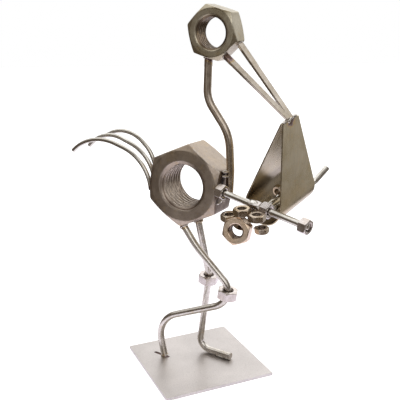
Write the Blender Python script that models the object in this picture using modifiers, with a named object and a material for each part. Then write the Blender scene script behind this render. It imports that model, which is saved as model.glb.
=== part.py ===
"""A stork with a baby in its beak, welded from hexagon nuts, round rod, square bar and bent sheet.

The stork faces +X and stands on a square plate. The origin is the middle of the plate's underside and +Z
is up. Its right side, where the baby's face is, looks along -Y. Lengths are in metres, angles in degrees.
A side angle is read in the XZ plane: 0 is forward, 90 is up.
"""

import math
from collections import namedtuple

import bmesh
import bpy
from mathutils import Matrix, Vector

# Air left between pieces that a weld joins
GAP = 0.0003

# Base plate
PLATE_SIDE = 0.080
PLATE_THICKNESS = 0.002
PLATE_TURN = 49.6
SLOT_LENGTH = 0.0140
SLOT_WIDTH = 0.0022
SLOT_TURN = -11.2
SLOT_BACK = 0.0028

# Nuts: across flats, height, thread diameter and pitch
Nut = namedtuple("Nut", "flats height thread pitch facets threaded")
BODY_FLATS = 0.0500
BODY_HEIGHT = 0.0283
BODY_THREAD = 0.0330
BODY_PITCH = 0.0035
HEAD_FLATS = 0.0313
HEAD_HEIGHT = 0.0152
HEAD_THREAD = 0.0220
HEAD_PITCH = 0.0025
KNEE_FLATS = 0.0130
KNEE_HEIGHT = 0.0065
KNEE_THREAD = 0.0080
KNEE_PITCH = 0.00125
FACE_FLATS = 0.0167
FACE_HEIGHT = 0.0080
FACE_THREAD = 0.0100
FACE_PITCH = 0.0015
TORSO_FLATS = 0.0130
TORSO_HEIGHT = 0.0060
CURL_FLATS = 0.0100
CURL_HEIGHT = 0.0044
CURL_THREAD = 0.0063
CURL_PITCH = 0.0010
LAST_CURL_FLATS = 0.0080
LAST_CURL_HEIGHT = 0.0036
LAST_CURL_THREAD = 0.0052
LAST_CURL_PITCH = 0.0008
HAND_FLATS = 0.0090
HAND_HEIGHT = 0.0056
FOOT_FLATS = 0.0072
FOOT_HEIGHT = 0.0036
FOOT_THREAD = 0.0042
FOOT_PITCH = 0.0007

# Rods and bars
NECK_ROD = 0.0053
LEG_ROD = 0.0049
TAIL_ROD = 0.0030
ARM_ROD = 0.0044
THIGH_ROD = 0.0032
SHANK_ROD = 0.0040
BEAK_ROOT = 0.0034
BEAK_TIP = 0.0028
BEAK_ROLL = 45.0
WELD_SINK = 0.0030
ARM_FIT = 0.0003

# Stork: the body nut's place, and the head nut's place from it
BODY_RISE = 0.1332
BODY_FORWARD = -0.0031
BODY_ROLL = -6.9
BODY_TIP = -2.44
HEAD_RISE = 0.0997
HEAD_FORWARD = 0.0189
HEAD_ROLL = 13.3
NECK_SIDE = -0.0015
NECK_FOOT = 0.0045
NECK_FOOT_CLEAR = 0.0012
# Bends of the neck: forward, and share of the drop from the head nut to the body nut's front corner
NECK_UPPER_BEND = (-0.0013, 0.365)
NECK_LOWER_BEND = (-0.0010, 0.325)
NECK_RADII = (0.0192, 0.0306, 0.0600)

# Legs: forward and share of the hip's height for each bend, with its radius
RIGHT_HIP_SIDE = -0.0080
RIGHT_FOOT = (-0.0247, -0.0060)
RIGHT_BENDS = (
    (0.0042, 0.871, 0.060),
    (0.0306, 0.608, 0.0109),
    (0.0236, 0.486, 0.0172),
    (-0.0290, 0.288, 0.0215),
)
RIGHT_KNEE = 0.574
RIGHT_KNEE_ROLL = 18.0
HIP_FORWARD = LEG_ROD / 3
LEFT_HIP_SIDE = 0.0060
LEFT_HIP_FORWARD = 0.0061
LEFT_KNEE_AT = (0.0053, 0.0090)
LEFT_KNEE = 0.600
LEFT_NUT_DROP = 0.0025
LEFT_KNEE_ROLL = 8.0
LEFT_HEEL = (-0.0053, 0.0130)
LEFT_TOE = (0.0222, 0.0092)
KNEE_BEND = 0.0262
HEEL_BEND = 0.0078

# Tail wires: side offset, then tip, crest and shoulder from the body nut's middle, with the bends' radii
TAIL_WIRES = {
    "tail_wire_right": (-0.0080, (-0.0919, 0.0168), (-0.0754, 0.0318), (-0.0293, 0.0151), 0.0358, 0.0318),
    "tail_wire_middle": (0.0000, (-0.0832, 0.0198), (-0.0685, 0.0325), (-0.0335, 0.0180), 0.0240, 0.0297),
    "tail_wire_left": (0.0080, (-0.0800, 0.0235), (-0.0545, 0.0358), (-0.0365, 0.0180), 0.0241, 0.0253),
}
TAIL_FOOT = 0.17

# Sling: its top seam from the body nut's middle, then the bent sheet
SLING_FORWARD = 0.0690
SLING_RISE = 0.0471
SLING_DROP = 0.0548
SLING_ROLL = 0.0132
SLING_TOP_WIDTH = 0.0174
SLING_LOW_WIDTH = 0.0450
SLING_FLARE = 0.80
SLING_SWING = -11.1
SLING_TURN = 15.0
SLING_TIP = 14.0
SHEET = 0.0010
BEAK_LOWER_SHARE = 0.30
BEAK_UPPER_SHARE = 0.86
BEAK_LOWER_SIDE = -0.0040
BEAK_UPPER_SIDE = 0.0020

# Baby: the torso nut in the sling's frame (across, along, up), the rest from the torso in the stork's frame
TORSO_PLACE = (0.0055, -0.0357, 0.0047)
LEFT_HAND_PLACE = (0.0036, 0.0016)
LEFT_HAND_RISE = 0.0083
RIGHT_HAND_PLACE = (0.0353, -0.0110, -0.0017)
ELBOW_AT = 0.42
SHOULDER_AT = 0.560
FACE_PLACE = (-0.0085, -0.0096, -0.0103)
FACE_AXIS = (-0.085, 0.966, -0.095)
FACE_ROLL = 10.0
CURL_TIP = 7.0
CURL_PLACES = (
    (-0.0069, 0.0031, 0.0070),
    (0.0028, 0.0004, 0.0125),
    (0.0130, -0.0004, 0.0101),
)
LAST_CURL_PLACE = (0.0154, 0.0021, 0.0015)
NECK_NUT_PLACE = (-0.0014, 0.0099, 0.0012)
NECK_NUT_AXIS = (0.30, -0.12, 0.94)
THIGH_START = (0.0043, 0.0028)
FOOT_PLACE = (0.0074, -0.0127, 0.0091)
SHANK_START = (0.0040, -0.0021)
SHANK_ANGLE = -10.5
SHANK_OUT = 0.0260
SHANK_END = (0.0049, 0.0117, 0.0076)
SHANK_BEND = 0.006

# Sides of the turned chamfers and bores
BODY_FACETS = 48
HEAD_FACETS = 32
FACE_FACETS = 24
SMALL_FACETS = 16
FOOT_FACETS = 12

BODY = Nut(BODY_FLATS, BODY_HEIGHT, BODY_THREAD, BODY_PITCH, BODY_FACETS, True)
HEAD = Nut(HEAD_FLATS, HEAD_HEIGHT, HEAD_THREAD, HEAD_PITCH, HEAD_FACETS, True)
KNEE = Nut(KNEE_FLATS, KNEE_HEIGHT, KNEE_THREAD, KNEE_PITCH, SMALL_FACETS, False)
FACE = Nut(FACE_FLATS, FACE_HEIGHT, FACE_THREAD, FACE_PITCH, FACE_FACETS, False)
TORSO = Nut(TORSO_FLATS, TORSO_HEIGHT, KNEE_THREAD, KNEE_PITCH, SMALL_FACETS, False)
CURL = Nut(CURL_FLATS, CURL_HEIGHT, CURL_THREAD, CURL_PITCH, SMALL_FACETS, False)
LAST_CURL = Nut(LAST_CURL_FLATS, LAST_CURL_HEIGHT, LAST_CURL_THREAD, LAST_CURL_PITCH, SMALL_FACETS, False)
HAND = Nut(HAND_FLATS, HAND_HEIGHT, CURL_THREAD, CURL_PITCH, SMALL_FACETS, False)
FOOT = Nut(FOOT_FLATS, FOOT_HEIGHT, FOOT_THREAD, FOOT_PITCH, FOOT_FACETS, False)

# A coarse thread's depth and its countersink, as shares of pitch and diameter
THREAD_DEPTH = 0.5413
COUNTERSINK = 1.045
CHAMFER_CIRCLE = 0.95
CHAMFER_ANGLE = 30.0
CHAMFER_REACH = 0.60

# A nut turned by half a side stands on a corner instead of a flat
HALF_SIDE = 30.0

ARC_STEP = 15.0
ROD_RESOLUTION = 4
WIRE_RESOLUTION = 2
SHARP_ANGLE = 40.0
WELD_DISTANCE = 0.00001

STEEL = bpy.data.collections.new("metal_stork")
CUTTERS = bpy.data.collections.new("cutters")


def clear_scene():
    """Remove every object of the scene and add the two collections."""
    for obj in list(bpy.data.objects):
        bpy.data.objects.remove(obj, do_unlink=True)
    for group in (STEEL, CUTTERS):
        bpy.context.scene.collection.children.link(group)


def finish(name, colour, roughness, metallic=1.0):
    """A Principled material of one plain metal."""
    made = bpy.data.materials.new(name)
    made.use_nodes = True
    shader = made.node_tree.nodes["Principled BSDF"]
    shader.inputs["Base Color"].default_value = (*colour, 1.0)
    shader.inputs["Roughness"].default_value = roughness
    shader.inputs["Metallic"].default_value = metallic
    return made


def piece(name, data, place, material):
    """A sub-part of the stork."""
    obj = bpy.data.objects.new(name, data)
    obj.matrix_world = place
    data.materials.clear()
    data.materials.append(material)
    STEEL.objects.link(obj)
    return obj


def cutter(name, data, place):
    """A solid that only cuts."""
    obj = bpy.data.objects.new(name, data)
    obj.matrix_world = place
    obj.hide_render = True
    obj.display_type = "WIRE"
    CUTTERS.objects.link(obj)
    return obj


def boolean(obj, other, operation="DIFFERENCE"):
    """Cut obj with other, or keep only what the two share."""
    modifier = obj.modifiers.new(operation.lower(), "BOOLEAN")
    modifier.operation = operation
    modifier.solver = "EXACT"
    modifier.object = other


def side(angle, length=1.0):
    """A vector in the XZ plane."""
    return Vector((length * math.cos(math.radians(angle)), 0, length * math.sin(math.radians(angle))))


def prism_mesh(name, flats, height):
    """A hexagon prism about Z whose first flat faces +X."""
    bm = bmesh.new()
    radius = flats / math.sqrt(3)
    bmesh.ops.create_cone(bm, cap_ends=True, segments=6, radius1=radius, radius2=radius, depth=height)
    mesh = bpy.data.meshes.new(name)
    bm.to_mesh(mesh)
    bm.free()
    return mesh


def block_mesh(name, length, width, height):
    """A box about the origin."""
    bm = bmesh.new()
    bmesh.ops.create_cube(bm, size=1.0)
    bmesh.ops.scale(bm, vec=(length, width, height), verts=bm.verts)
    mesh = bpy.data.meshes.new(name)
    bm.to_mesh(mesh)
    bm.free()
    return mesh


def turned(name, profile, steps, place):
    """A cutter turned about Z from (radius, height) points that run from its top to its bottom."""
    mesh = bpy.data.meshes.new(name)
    points = [(radius, 0, height) for radius, height in profile]
    mesh.from_pydata(points, [(i, i + 1) for i in range(len(points) - 1)], [])
    obj = cutter(name, mesh, place)
    screw = obj.modifiers.new("turn", "SCREW")
    screw.angle = math.tau
    screw.steps = steps
    screw.render_steps = steps
    screw.use_merge_vertices = True
    screw.merge_threshold = WELD_DISTANCE
    return obj


def minor_radius(kind):
    """The radius at a thread's crests."""
    return kind.thread / 2 - THREAD_DEPTH * kind.pitch


def chamfer_profile(kind):
    """A cylinder round the nut whose ends slope down to the chamfer circle."""
    slope = math.tan(math.radians(CHAMFER_ANGLE))
    circle = CHAMFER_CIRCLE * kind.flats / 2
    outer = CHAMFER_REACH * kind.flats
    half = kind.height / 2
    drop = (outer - circle) * slope
    upper = [(0, half), (circle, half), (outer, half - drop)]
    return upper + [(outer, drop - half), (circle, -half), (0, -half)]


def bore_profile(kind, bore=None):
    """A bore with a countersink at both ends, and V grooves along it if the nut shows its thread."""
    slope = math.tan(math.radians(CHAMFER_ANGLE))
    crest = bore / 2 if bore else minor_radius(kind)
    half = kind.height / 2
    mouth = max(COUNTERSINK * kind.thread / 2, crest + 2 * GAP)
    beyond = 2 * GAP
    sink = half - (mouth - crest) * slope
    profile = [(0, half + beyond), (mouth + beyond / slope, half + beyond), (crest, sink)]
    if kind.threaded:
        turns = int(2 * sink / kind.pitch)
        start = turns * kind.pitch / 2
        root = crest + THREAD_DEPTH * kind.pitch
        for turn in range(turns):
            profile.append((crest, start - turn * kind.pitch))
            profile.append((root, start - (turn + 0.5) * kind.pitch))
        profile.append((crest, -start))
    profile += [(crest, -sink), (mouth + beyond / slope, -half - beyond), (0, -half - beyond)]
    return profile


def nut(name, kind, place, material, bore=None):
    """A chamfered hexagon nut with its bore along the place's Z axis."""
    obj = piece(name, prism_mesh(name, kind.flats, kind.height + 2 * GAP), place, material)
    chamfer = turned(name + "_chamfer", chamfer_profile(kind), kind.facets, place)
    hole = turned(name + "_bore", bore_profile(kind, bore), kind.facets, place)
    boolean(obj, chamfer, "INTERSECT")
    boolean(obj, hole)
    return obj


def envelope(name, kind, place):
    """A cutter as large as a nut and its weld gap."""
    return cutter(name, prism_mesh(name, kind.flats + 2 * GAP, kind.height + 2 * GAP), place)


def sleeve(name, start, end, diameter):
    """A round cutter as large as a straight rod and its weld gap."""
    bm = bmesh.new()
    radius = diameter / 2 + GAP
    depth = (end - start).length + 2 * GAP
    bmesh.ops.create_cone(bm, cap_ends=True, segments=SMALL_FACETS, radius1=radius, radius2=radius,
                          depth=depth)
    mesh = bpy.data.meshes.new(name)
    bm.to_mesh(mesh)
    bm.free()
    return cutter(name, mesh, axis_place((start + end) / 2, end - start, 0.0, (0, 1, 0)))


def side_place(centre, roll, tip=0.0):
    """A nut's place: bore across the stork, one flat turned from +X by roll, far end raised by tip."""
    out = side(roll)
    frame = Matrix((out, Vector((0, 1, 0)).cross(out), (0, 1, 0))).transposed().to_4x4()
    return Matrix.Translation(centre) @ Matrix.Rotation(math.radians(tip), 4, "X") @ frame


def on_nut(centre, tip, angle, radius, across):
    """The point at a side angle and radius from a nut's axis."""
    spoke = side(angle, radius) + Vector((0, across, 0))
    return centre + Matrix.Rotation(math.radians(tip), 3, "X") @ spoke


def axis_place(centre, axis, roll, out=(1, 0, 0)):
    """A nut's place with its bore along an axis and one flat turned by roll from the out direction."""
    along = Vector(axis).normalized()
    first = (Vector(out) - along * along.dot(Vector(out))).normalized()
    frame = Matrix((first, along.cross(first), along)).transposed().to_4x4()
    return Matrix.Translation(centre) @ frame @ Matrix.Rotation(math.radians(roll), 4, "Z")


def bent(corners, radii):
    """The points of a rod that runs straight between corners and turns at each on an arc."""
    points = [corners[0]]
    for before, corner, after, radius in zip(corners, corners[1:], corners[2:], radii):
        back = (before - corner).normalized()
        ahead = (after - corner).normalized()
        turn = math.pi - back.angle(ahead)
        middle = corner + (back + ahead).normalized() * radius / math.cos(turn / 2)
        start = corner + back * radius * math.tan(turn / 2)
        steps = max(2, round(math.degrees(turn) / ARC_STEP))
        for step in range(steps + 1):
            swept = turn * step / steps
            points.append(middle + (start - middle) * math.cos(swept) - back * radius * math.sin(swept))
    points.append(corners[-1])
    return points


def rod(name, points, diameter, resolution, material, cuts=()):
    """A round rod along points, with flat ends and any cuts."""
    curve = bpy.data.curves.new(name + "_line", "CURVE")
    curve.dimensions = "3D"
    curve.bevel_depth = diameter / 2
    curve.bevel_resolution = resolution
    curve.use_fill_caps = True
    spline = curve.splines.new("POLY")
    spline.points.add(len(points) - 1)
    for target, point in zip(spline.points, points):
        target.co = (*point, 1.0)
    line = bpy.data.objects.new(name + "_line", curve)
    STEEL.objects.link(line)
    bpy.context.view_layer.update()
    mesh = bpy.data.meshes.new_from_object(line.evaluated_get(bpy.context.evaluated_depsgraph_get()))
    bm = bmesh.new()
    bm.from_mesh(mesh)
    bmesh.ops.remove_doubles(bm, verts=bm.verts, dist=WELD_DISTANCE)
    bm.to_mesh(mesh)
    bm.free()
    place = line.matrix_world.copy()
    bpy.data.objects.remove(line)
    mesh.name = name
    mesh.shade_smooth()
    mesh.set_sharp_from_angle(angle=math.radians(SHARP_ANGLE))
    obj = piece(name, mesh, place, material)
    for other in cuts:
        boolean(obj, other)
    return obj


def beyond(end, inner, length):
    """The point past an end, in line with the point before it."""
    return end + (end - inner).normalized() * length


def point_along(points, distance):
    """The point at a distance along a line of points."""
    for first, second in zip(points, points[1:]):
        step = (second - first).length
        if distance <= step:
            return first.lerp(second, distance / step)
        distance -= step
    return points[-1]


def length_down_to(points, height):
    """How far along a falling line it passes a height."""
    run = 0.0
    for first, second in zip(points, points[1:]):
        if first.z >= height >= second.z:
            return run + (second - first).length * (first.z - height) / (first.z - second.z)
        run += (second - first).length
    return run


def knee_place(points, height, kind, roll):
    """A nut threaded on a bent rod at a height, centred on the rod inside it."""
    at = length_down_to(points, height)
    above = point_along(points, at - kind.height / 2)
    below = point_along(points, at + kind.height / 2)
    centre = (above + below) / 4 + point_along(points, at) / 2
    return axis_place(centre, above - below, roll)


def base_plate(material, foot):
    """A square plate set cornerwise, with a narrow slot behind the right foot."""
    mesh = block_mesh("base_plate", PLATE_SIDE, PLATE_SIDE, PLATE_THICKNESS)
    turn = Matrix.Rotation(math.radians(PLATE_TURN), 4, "Z")
    plate = piece("base_plate", mesh, Matrix.Translation((0, 0, PLATE_THICKNESS / 2)) @ turn, material)
    slot = block_mesh("slot", SLOT_LENGTH, SLOT_WIDTH, 3 * PLATE_THICKNESS)
    turn = Matrix.Rotation(math.radians(SLOT_TURN), 4, "Z")
    middle = Vector((foot.x, foot.y, 0)) + turn @ Vector((-SLOT_BACK, 0, 0))
    boolean(plate, cutter("slot", slot, Matrix.Translation(middle) @ turn))


def ground():
    """A cutter whose top lies one weld gap above the plate."""
    mesh = block_mesh("ground", PLATE_SIDE, PLATE_SIDE, PLATE_SIDE)
    return cutter("ground", mesh, Matrix.Translation((0, 0, PLATE_THICKNESS + GAP - PLATE_SIDE / 2)))


def right_leg(body, shell, material, zinc):
    """The near leg: one rod bent at thigh, knee and ankle, with a nut round its knee."""
    hip = on_nut(body, BODY_TIP, BODY_ROLL - 90, BODY_FLATS / math.sqrt(3), RIGHT_HIP_SIDE)
    hip.x += HIP_FORWARD
    foot = Vector((*RIGHT_FOOT, PLATE_THICKNESS + GAP))
    corners = [hip]
    for forward, share, _ in RIGHT_BENDS:
        across = foot.y + (hip.y - foot.y) * min(1.0, share / RIGHT_KNEE)
        corners.append(Vector((forward, across, foot.z + share * (hip.z - foot.z))))
    corners.append(beyond(foot, corners[-1], WELD_SINK))
    corners[0] = beyond(hip, corners[1], WELD_SINK)
    points = bent(corners, [radius for _, _, radius in RIGHT_BENDS])
    rod("right_leg", points, LEG_ROD, ROD_RESOLUTION, material, [shell, ground()])
    knee = foot.z + RIGHT_KNEE * (hip.z - foot.z)
    nut("right_knee_nut", KNEE, knee_place(points, knee, KNEE, RIGHT_KNEE_ROLL), zinc)
    return foot


def left_leg(body, shell, material, zinc):
    """The far leg: a straighter rod with a nut at its knee and a toe along the plate."""
    hip = on_nut(body, BODY_TIP, BODY_ROLL - 90, BODY_FLATS / math.sqrt(3), LEFT_HIP_SIDE)
    hip.x += LEFT_HIP_FORWARD
    ground = PLATE_THICKNESS + GAP + LEG_ROD / 2
    knee = Vector((*LEFT_KNEE_AT, ground + LEFT_KNEE * (hip.z - ground)))
    corners = [
        beyond(hip, knee, 2 * WELD_SINK),
        knee,
        Vector((*LEFT_HEEL, ground)),
        Vector((*LEFT_TOE, ground)),
    ]
    points = bent(corners, [KNEE_BEND, HEEL_BEND])
    rod("left_leg", points, LEG_ROD, ROD_RESOLUTION, material, [shell])
    place = knee_place(points, knee.z - LEFT_NUT_DROP, KNEE, LEFT_KNEE_ROLL)
    nut("left_knee_nut", KNEE, place, zinc)


def neck(body, head, shells, material):
    """An S-shaped rod from the head nut's bottom flat past the body nut's front corner to its front flat."""
    corner = on_nut(body, BODY_TIP, BODY_ROLL + 30, BODY_FLATS / math.sqrt(3), NECK_SIDE)
    flat_foot = on_nut(body, BODY_TIP, BODY_ROLL, BODY_FLATS / 2, NECK_SIDE)
    top = on_nut(head, 0, HEAD_ROLL - 120, HEAD_FLATS / 2, NECK_SIDE)
    drop = top.z - corner.z
    beside = corner + Vector((NECK_ROD / 2 + GAP, 0, 0))
    corners = [
        top,
        top + Vector((NECK_UPPER_BEND[0], 0, -NECK_UPPER_BEND[1] * drop)),
        beside + Vector((NECK_LOWER_BEND[0], 0, NECK_LOWER_BEND[1] * drop)),
        beside,
        flat_foot + Vector((NECK_ROD / 2 + NECK_FOOT_CLEAR, 0, -NECK_FOOT)),
    ]
    corners[0] = beyond(top, corners[1], WELD_SINK)
    rod("neck_rod", bent(corners, NECK_RADII), NECK_ROD, ROD_RESOLUTION, material, shells)


def tail(body, shell, material):
    """Three arched wires whose lower ends lie on the body nut's back flat."""
    radius = BODY_FLATS / math.sqrt(3)
    for name, (across, tip, crest, shoulder, first, second) in TAIL_WIRES.items():
        low = on_nut(body, BODY_TIP, BODY_ROLL - 150, radius, across)
        high = on_nut(body, BODY_TIP, BODY_ROLL + 150, radius, across)
        foot = low.lerp(high, TAIL_FOOT) + side(BODY_ROLL + 180, TAIL_ROD / 2 + GAP)
        foot.y = across
        corners = [body + Vector((forward, across, rise)) for forward, rise in (tip, crest, shoulder)]
        rod(name, bent(corners + [foot], [first, second]), TAIL_ROD, WIRE_RESOLUTION, material, [shell])


def sling_frame():
    """The sling's axes as columns: across its loop, along its width to the far side, and up."""
    turn, tip = math.radians(SLING_TURN), math.radians(SLING_TIP)
    along = Vector((math.sin(turn) * math.cos(tip), math.cos(turn) * math.cos(tip), math.sin(tip)))
    across = (Vector((1, 0, 0)) - along * along.x).normalized()
    return Matrix((across, along, across.cross(along))).transposed()


def sling_profile():
    """Points of the teardrop loop from its seam round its rolled bottom, with the length run to each."""
    hang = Vector((math.sin(math.radians(SLING_SWING)), -math.cos(math.radians(SLING_SWING))))
    out = Vector((-hang.y, hang.x))
    lip = (SHEET + GAP) / 2
    reach = math.hypot(SLING_DROP, lip)
    lean = math.asin(SLING_ROLL / reach) - math.atan2(lip, SLING_DROP)
    sweep = math.pi + 2 * lean
    steps = max(2, round(math.degrees(sweep) / ARC_STEP))
    points = [out * lip]
    for step in range(steps + 1):
        angle = -lean + sweep * step / steps
        spoke = out * math.cos(angle) + hang * math.sin(angle)
        points.append(hang * SLING_DROP + spoke * SLING_ROLL)
    points.append(out * -lip)
    run = [0.0]
    for first, second in zip(points, points[1:]):
        run.append(run[-1] + (second - first).length)
    return points, run


def sling(top, frame, material):
    """A strip of sheet bent into a teardrop, narrow at its seam and wide at its bottom.

    Its near edge spreads on into the roll, and its far edge stops spreading where the roll begins.
    """
    points, run = sling_profile()
    bm = bmesh.new()
    rows = []
    halves = []
    for length in run:
        share = min(1.0, (1 - abs(2 * length / run[-1] - 1)) / SLING_FLARE)
        halves.append((SLING_TOP_WIDTH + (SLING_LOW_WIDTH - SLING_TOP_WIDTH) * share) / 2)
    for point, half in zip(points, halves):
        far = min(half, halves[1])
        rows.append([bm.verts.new((point.x, along, point.y)) for along in (-half, far)])
    for first, second in zip(rows, rows[1:]):
        bm.faces.new((first[0], second[0], second[1], first[1]))
    mesh = bpy.data.meshes.new("sling")
    bm.to_mesh(mesh)
    bm.free()
    obj = piece("sling", mesh, Matrix.Translation(top) @ frame.to_4x4(), material)
    solid = obj.modifiers.new("sheet", "SOLIDIFY")
    solid.thickness = SHEET
    solid.offset = 0.0
    solid.use_even_offset = True


def bar(name, start, end, width, tip_width, cuts, material):
    """A square bar that tapers from start to end, with its edges up and down."""
    along = end - start
    bm = bmesh.new()
    bmesh.ops.create_cube(bm, size=1.0)
    for vert in bm.verts:
        across = width if vert.co.z < 0 else tip_width
        vert.co = Vector((vert.co.x * across, vert.co.y * across, vert.co.z * along.length))
    mesh = bpy.data.meshes.new(name)
    bm.to_mesh(mesh)
    bm.free()
    obj = piece(name, mesh, axis_place((start + end) / 2, along, BEAK_ROLL, (0, 1, 0)), material)
    for other in cuts:
        boolean(obj, other)


def beak(head, shell, top, frame, material):
    """Two tapering bars from the head nut's front lower flat to the sling's seam."""
    radius = HEAD_FLATS / math.sqrt(3)
    hang = frame @ side(SLING_SWING - 90)
    width = 2 * SLING_TOP_WIDTH
    mesh = block_mesh("seam", width, width, width)
    seam_top = top - hang * (SHEET / 2 + GAP)
    seam = cutter("seam", mesh, axis_place(seam_top + hang * width / 2, hang, 0.0))
    bars = (
        ("beak_lower", BEAK_LOWER_SHARE, BEAK_LOWER_SIDE, -1),
        ("beak_upper", BEAK_UPPER_SHARE, BEAK_UPPER_SIDE, 1),
    )
    for name, share, across, hand in bars:
        low = on_nut(head, 0, HEAD_ROLL - 90, radius, across)
        high = on_nut(head, 0, HEAD_ROLL - 30, radius, across)
        root = low.lerp(high, share)
        tip = seam_top + Vector((0, hand * (BEAK_TIP / math.sqrt(2) + GAP), 0))
        start = beyond(root, tip, WELD_SINK)
        end = beyond(tip, root, BEAK_TIP)
        bar(name, start, end, BEAK_ROOT, BEAK_TIP, [shell, seam], material)


def baby(body, body_shell, top, frame, material, zinc):
    """A baby of nuts and rod: torso, face, curls, arms with nut hands, and two legs in the sling."""
    bottom = top + frame @ side(SLING_SWING - 90, SLING_DROP)
    along = frame.col[1]
    torso = bottom + frame @ Vector(TORSO_PLACE)
    torso_place = axis_place(torso, along, HALF_SIDE, frame.col[0])
    torso_shell = envelope("torso_shell", TORSO, torso_place)
    nut("baby_torso_nut", TORSO, torso_place, zinc)

    face = torso + Vector(FACE_PLACE)
    face_place = axis_place(face, FACE_AXIS, FACE_ROLL)
    face_shell = envelope("face_shell", FACE, face_place)
    face_nut = nut("baby_face_nut", FACE, face_place, zinc)
    boolean(face_nut, torso_shell)

    neck_place = axis_place(face + Vector(NECK_NUT_PLACE), NECK_NUT_AXIS, 0.0)
    neck_shell = envelope("neck_shell", CURL, neck_place)
    neck_nut = nut("baby_neck_nut", CURL, neck_place, zinc)
    boolean(neck_nut, torso_shell)
    boolean(neck_nut, face_shell)

    tip = math.radians(CURL_TIP)
    curl_axis = (0, -math.sin(tip), math.cos(tip))
    shells = [face_shell, torso_shell, neck_shell]
    shells += arms(body, body_shell, torso, torso_shell, material, zinc)
    curls = [(CURL, offset) for offset in CURL_PLACES] + [(LAST_CURL, LAST_CURL_PLACE)]
    for number, (kind, offset) in enumerate(curls, 1):
        place = axis_place(face + Vector(offset), curl_axis, 0.0)
        curl = nut(f"baby_curl_nut_{number}", kind, place, zinc)
        for shell in shells:
            boolean(curl, shell)
        shells.append(envelope(f"curl_shell_{number}", kind, place))

    legs(bottom, frame, torso, torso_shell, material, zinc)


def arms(body, body_shell, torso, torso_shell, material, zinc):
    """Two arm rods in one line from the stork's body nut, with a nut as each hand and one as the shoulder.

    The shells that keep the curls clear of the shoulder nut and the left arm are returned.
    """
    arris = on_nut(body, BODY_TIP, BODY_ROLL, BODY_FLATS / 2, -BODY_HEIGHT / 2)
    left = arris + Vector((*LEFT_HAND_PLACE, 0))
    left.z = torso.z + LEFT_HAND_RISE
    right = torso + Vector(RIGHT_HAND_PLACE)
    line = (right - left).normalized()
    bore = ARM_ROD + 2 * ARM_FIT
    shoulder = left.lerp(right, SHOULDER_AT)
    for name, centre in (("left_hand", left), ("shoulder", shoulder), ("right_hand", right)):
        made = nut(f"baby_{name}_nut", HAND, axis_place(centre, line, 0.0, (0, 1, 0)), zinc, bore)
        boolean(made, body_shell)
        boolean(made, torso_shell)
    inner = left.lerp(right, ELBOW_AT)
    rod("baby_left_arm", [left, inner], ARM_ROD, ROD_RESOLUTION, material, [torso_shell, body_shell])
    rod("baby_right_arm", [shoulder, right], ARM_ROD, ROD_RESOLUTION, material, [torso_shell])
    shoulder_shell = envelope("shoulder_shell", HAND, axis_place(shoulder, line, 0.0, (0, 1, 0)))
    return [shoulder_shell, sleeve("arm_shell", left, inner, ARM_ROD)]


def legs(bottom, frame, torso, torso_shell, material, zinc):
    """A short leg that ends in a nut inside the sling, and one that leaves the sling's far side."""
    along = frame.col[1]
    back = TORSO_HEIGHT / 2 - WELD_SINK / 2
    start = torso + frame @ Vector((THIGH_START[0], back, THIGH_START[1]))
    foot = bottom + frame @ Vector(FOOT_PLACE)
    end = foot - frame.col[2] * FOOT_FLATS / 2
    foot_place = axis_place(foot, along, HALF_SIDE, frame.col[0])
    foot_shell = envelope("foot_shell", FOOT, foot_place)
    nut("baby_foot_nut", FOOT, foot_place, zinc)
    rod("baby_short_leg", [start, end], THIGH_ROD, WIRE_RESOLUTION, material, [torso_shell, foot_shell])

    start = torso + frame @ Vector((SHANK_START[0], back, SHANK_START[1]))
    reach = SLING_ROLL - SHEET / 2 - GAP - SHANK_ROD / 2
    out = bottom + frame @ (side(SHANK_ANGLE, reach) + Vector((0, SHANK_OUT, 0)))
    end = out + Vector(SHANK_END)
    rod("baby_long_leg", bent([start, out, end], [SHANK_BEND]), SHANK_ROD, WIRE_RESOLUTION, material,
        [torso_shell])


def main():
    """Build every piece of the stork."""
    clear_scene()
    dark = finish("dark_steel", (0.16, 0.13, 0.11), 0.42)
    bright = finish("bright_steel", (0.42, 0.38, 0.33), 0.30)
    zinc = finish("zinc_steel", (0.52, 0.46, 0.41), 0.28)
    satin = finish("satin_sheet", (0.55, 0.52, 0.51), 0.45)
    brushed = finish("brushed_sheet", (0.22, 0.19, 0.14), 0.38)

    body = Vector((BODY_FORWARD, 0, PLATE_THICKNESS + BODY_RISE))
    head = body + Vector((HEAD_FORWARD, 0, HEAD_RISE))
    body_place = side_place(body, BODY_ROLL, BODY_TIP)
    head_place = side_place(head, HEAD_ROLL)
    body_shell = envelope("body_shell", BODY, body_place)
    head_shell = envelope("head_shell", HEAD, head_place)
    nut("body_nut", BODY, body_place, dark)
    nut("head_nut", HEAD, head_place, dark)

    foot = right_leg(body, body_shell, bright, zinc)
    left_leg(body, body_shell, bright, zinc)
    base_plate(satin, foot)
    neck(body, head, [body_shell, head_shell], bright)
    tail(body, body_shell, bright)

    top = body + Vector((SLING_FORWARD, 0, SLING_RISE))
    frame = sling_frame()
    sling(top, frame, brushed)
    beak(head, head_shell, top, frame, bright)
    baby(body, body_shell, top, frame, bright, zinc)


main()
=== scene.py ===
"""The looks of a stork with a baby in its beak, welded from nuts, rods, square bar and bent sheet.

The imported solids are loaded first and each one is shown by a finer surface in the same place. The stork
faces +X, its right side looks along -Y, +Z is up, and the origin is the middle of the plate's underside.
Lengths are in metres and angles in degrees. A side angle is read in the XZ plane: 0 is forward, 90 is up.
"""

import math
from collections import namedtuple

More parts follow.
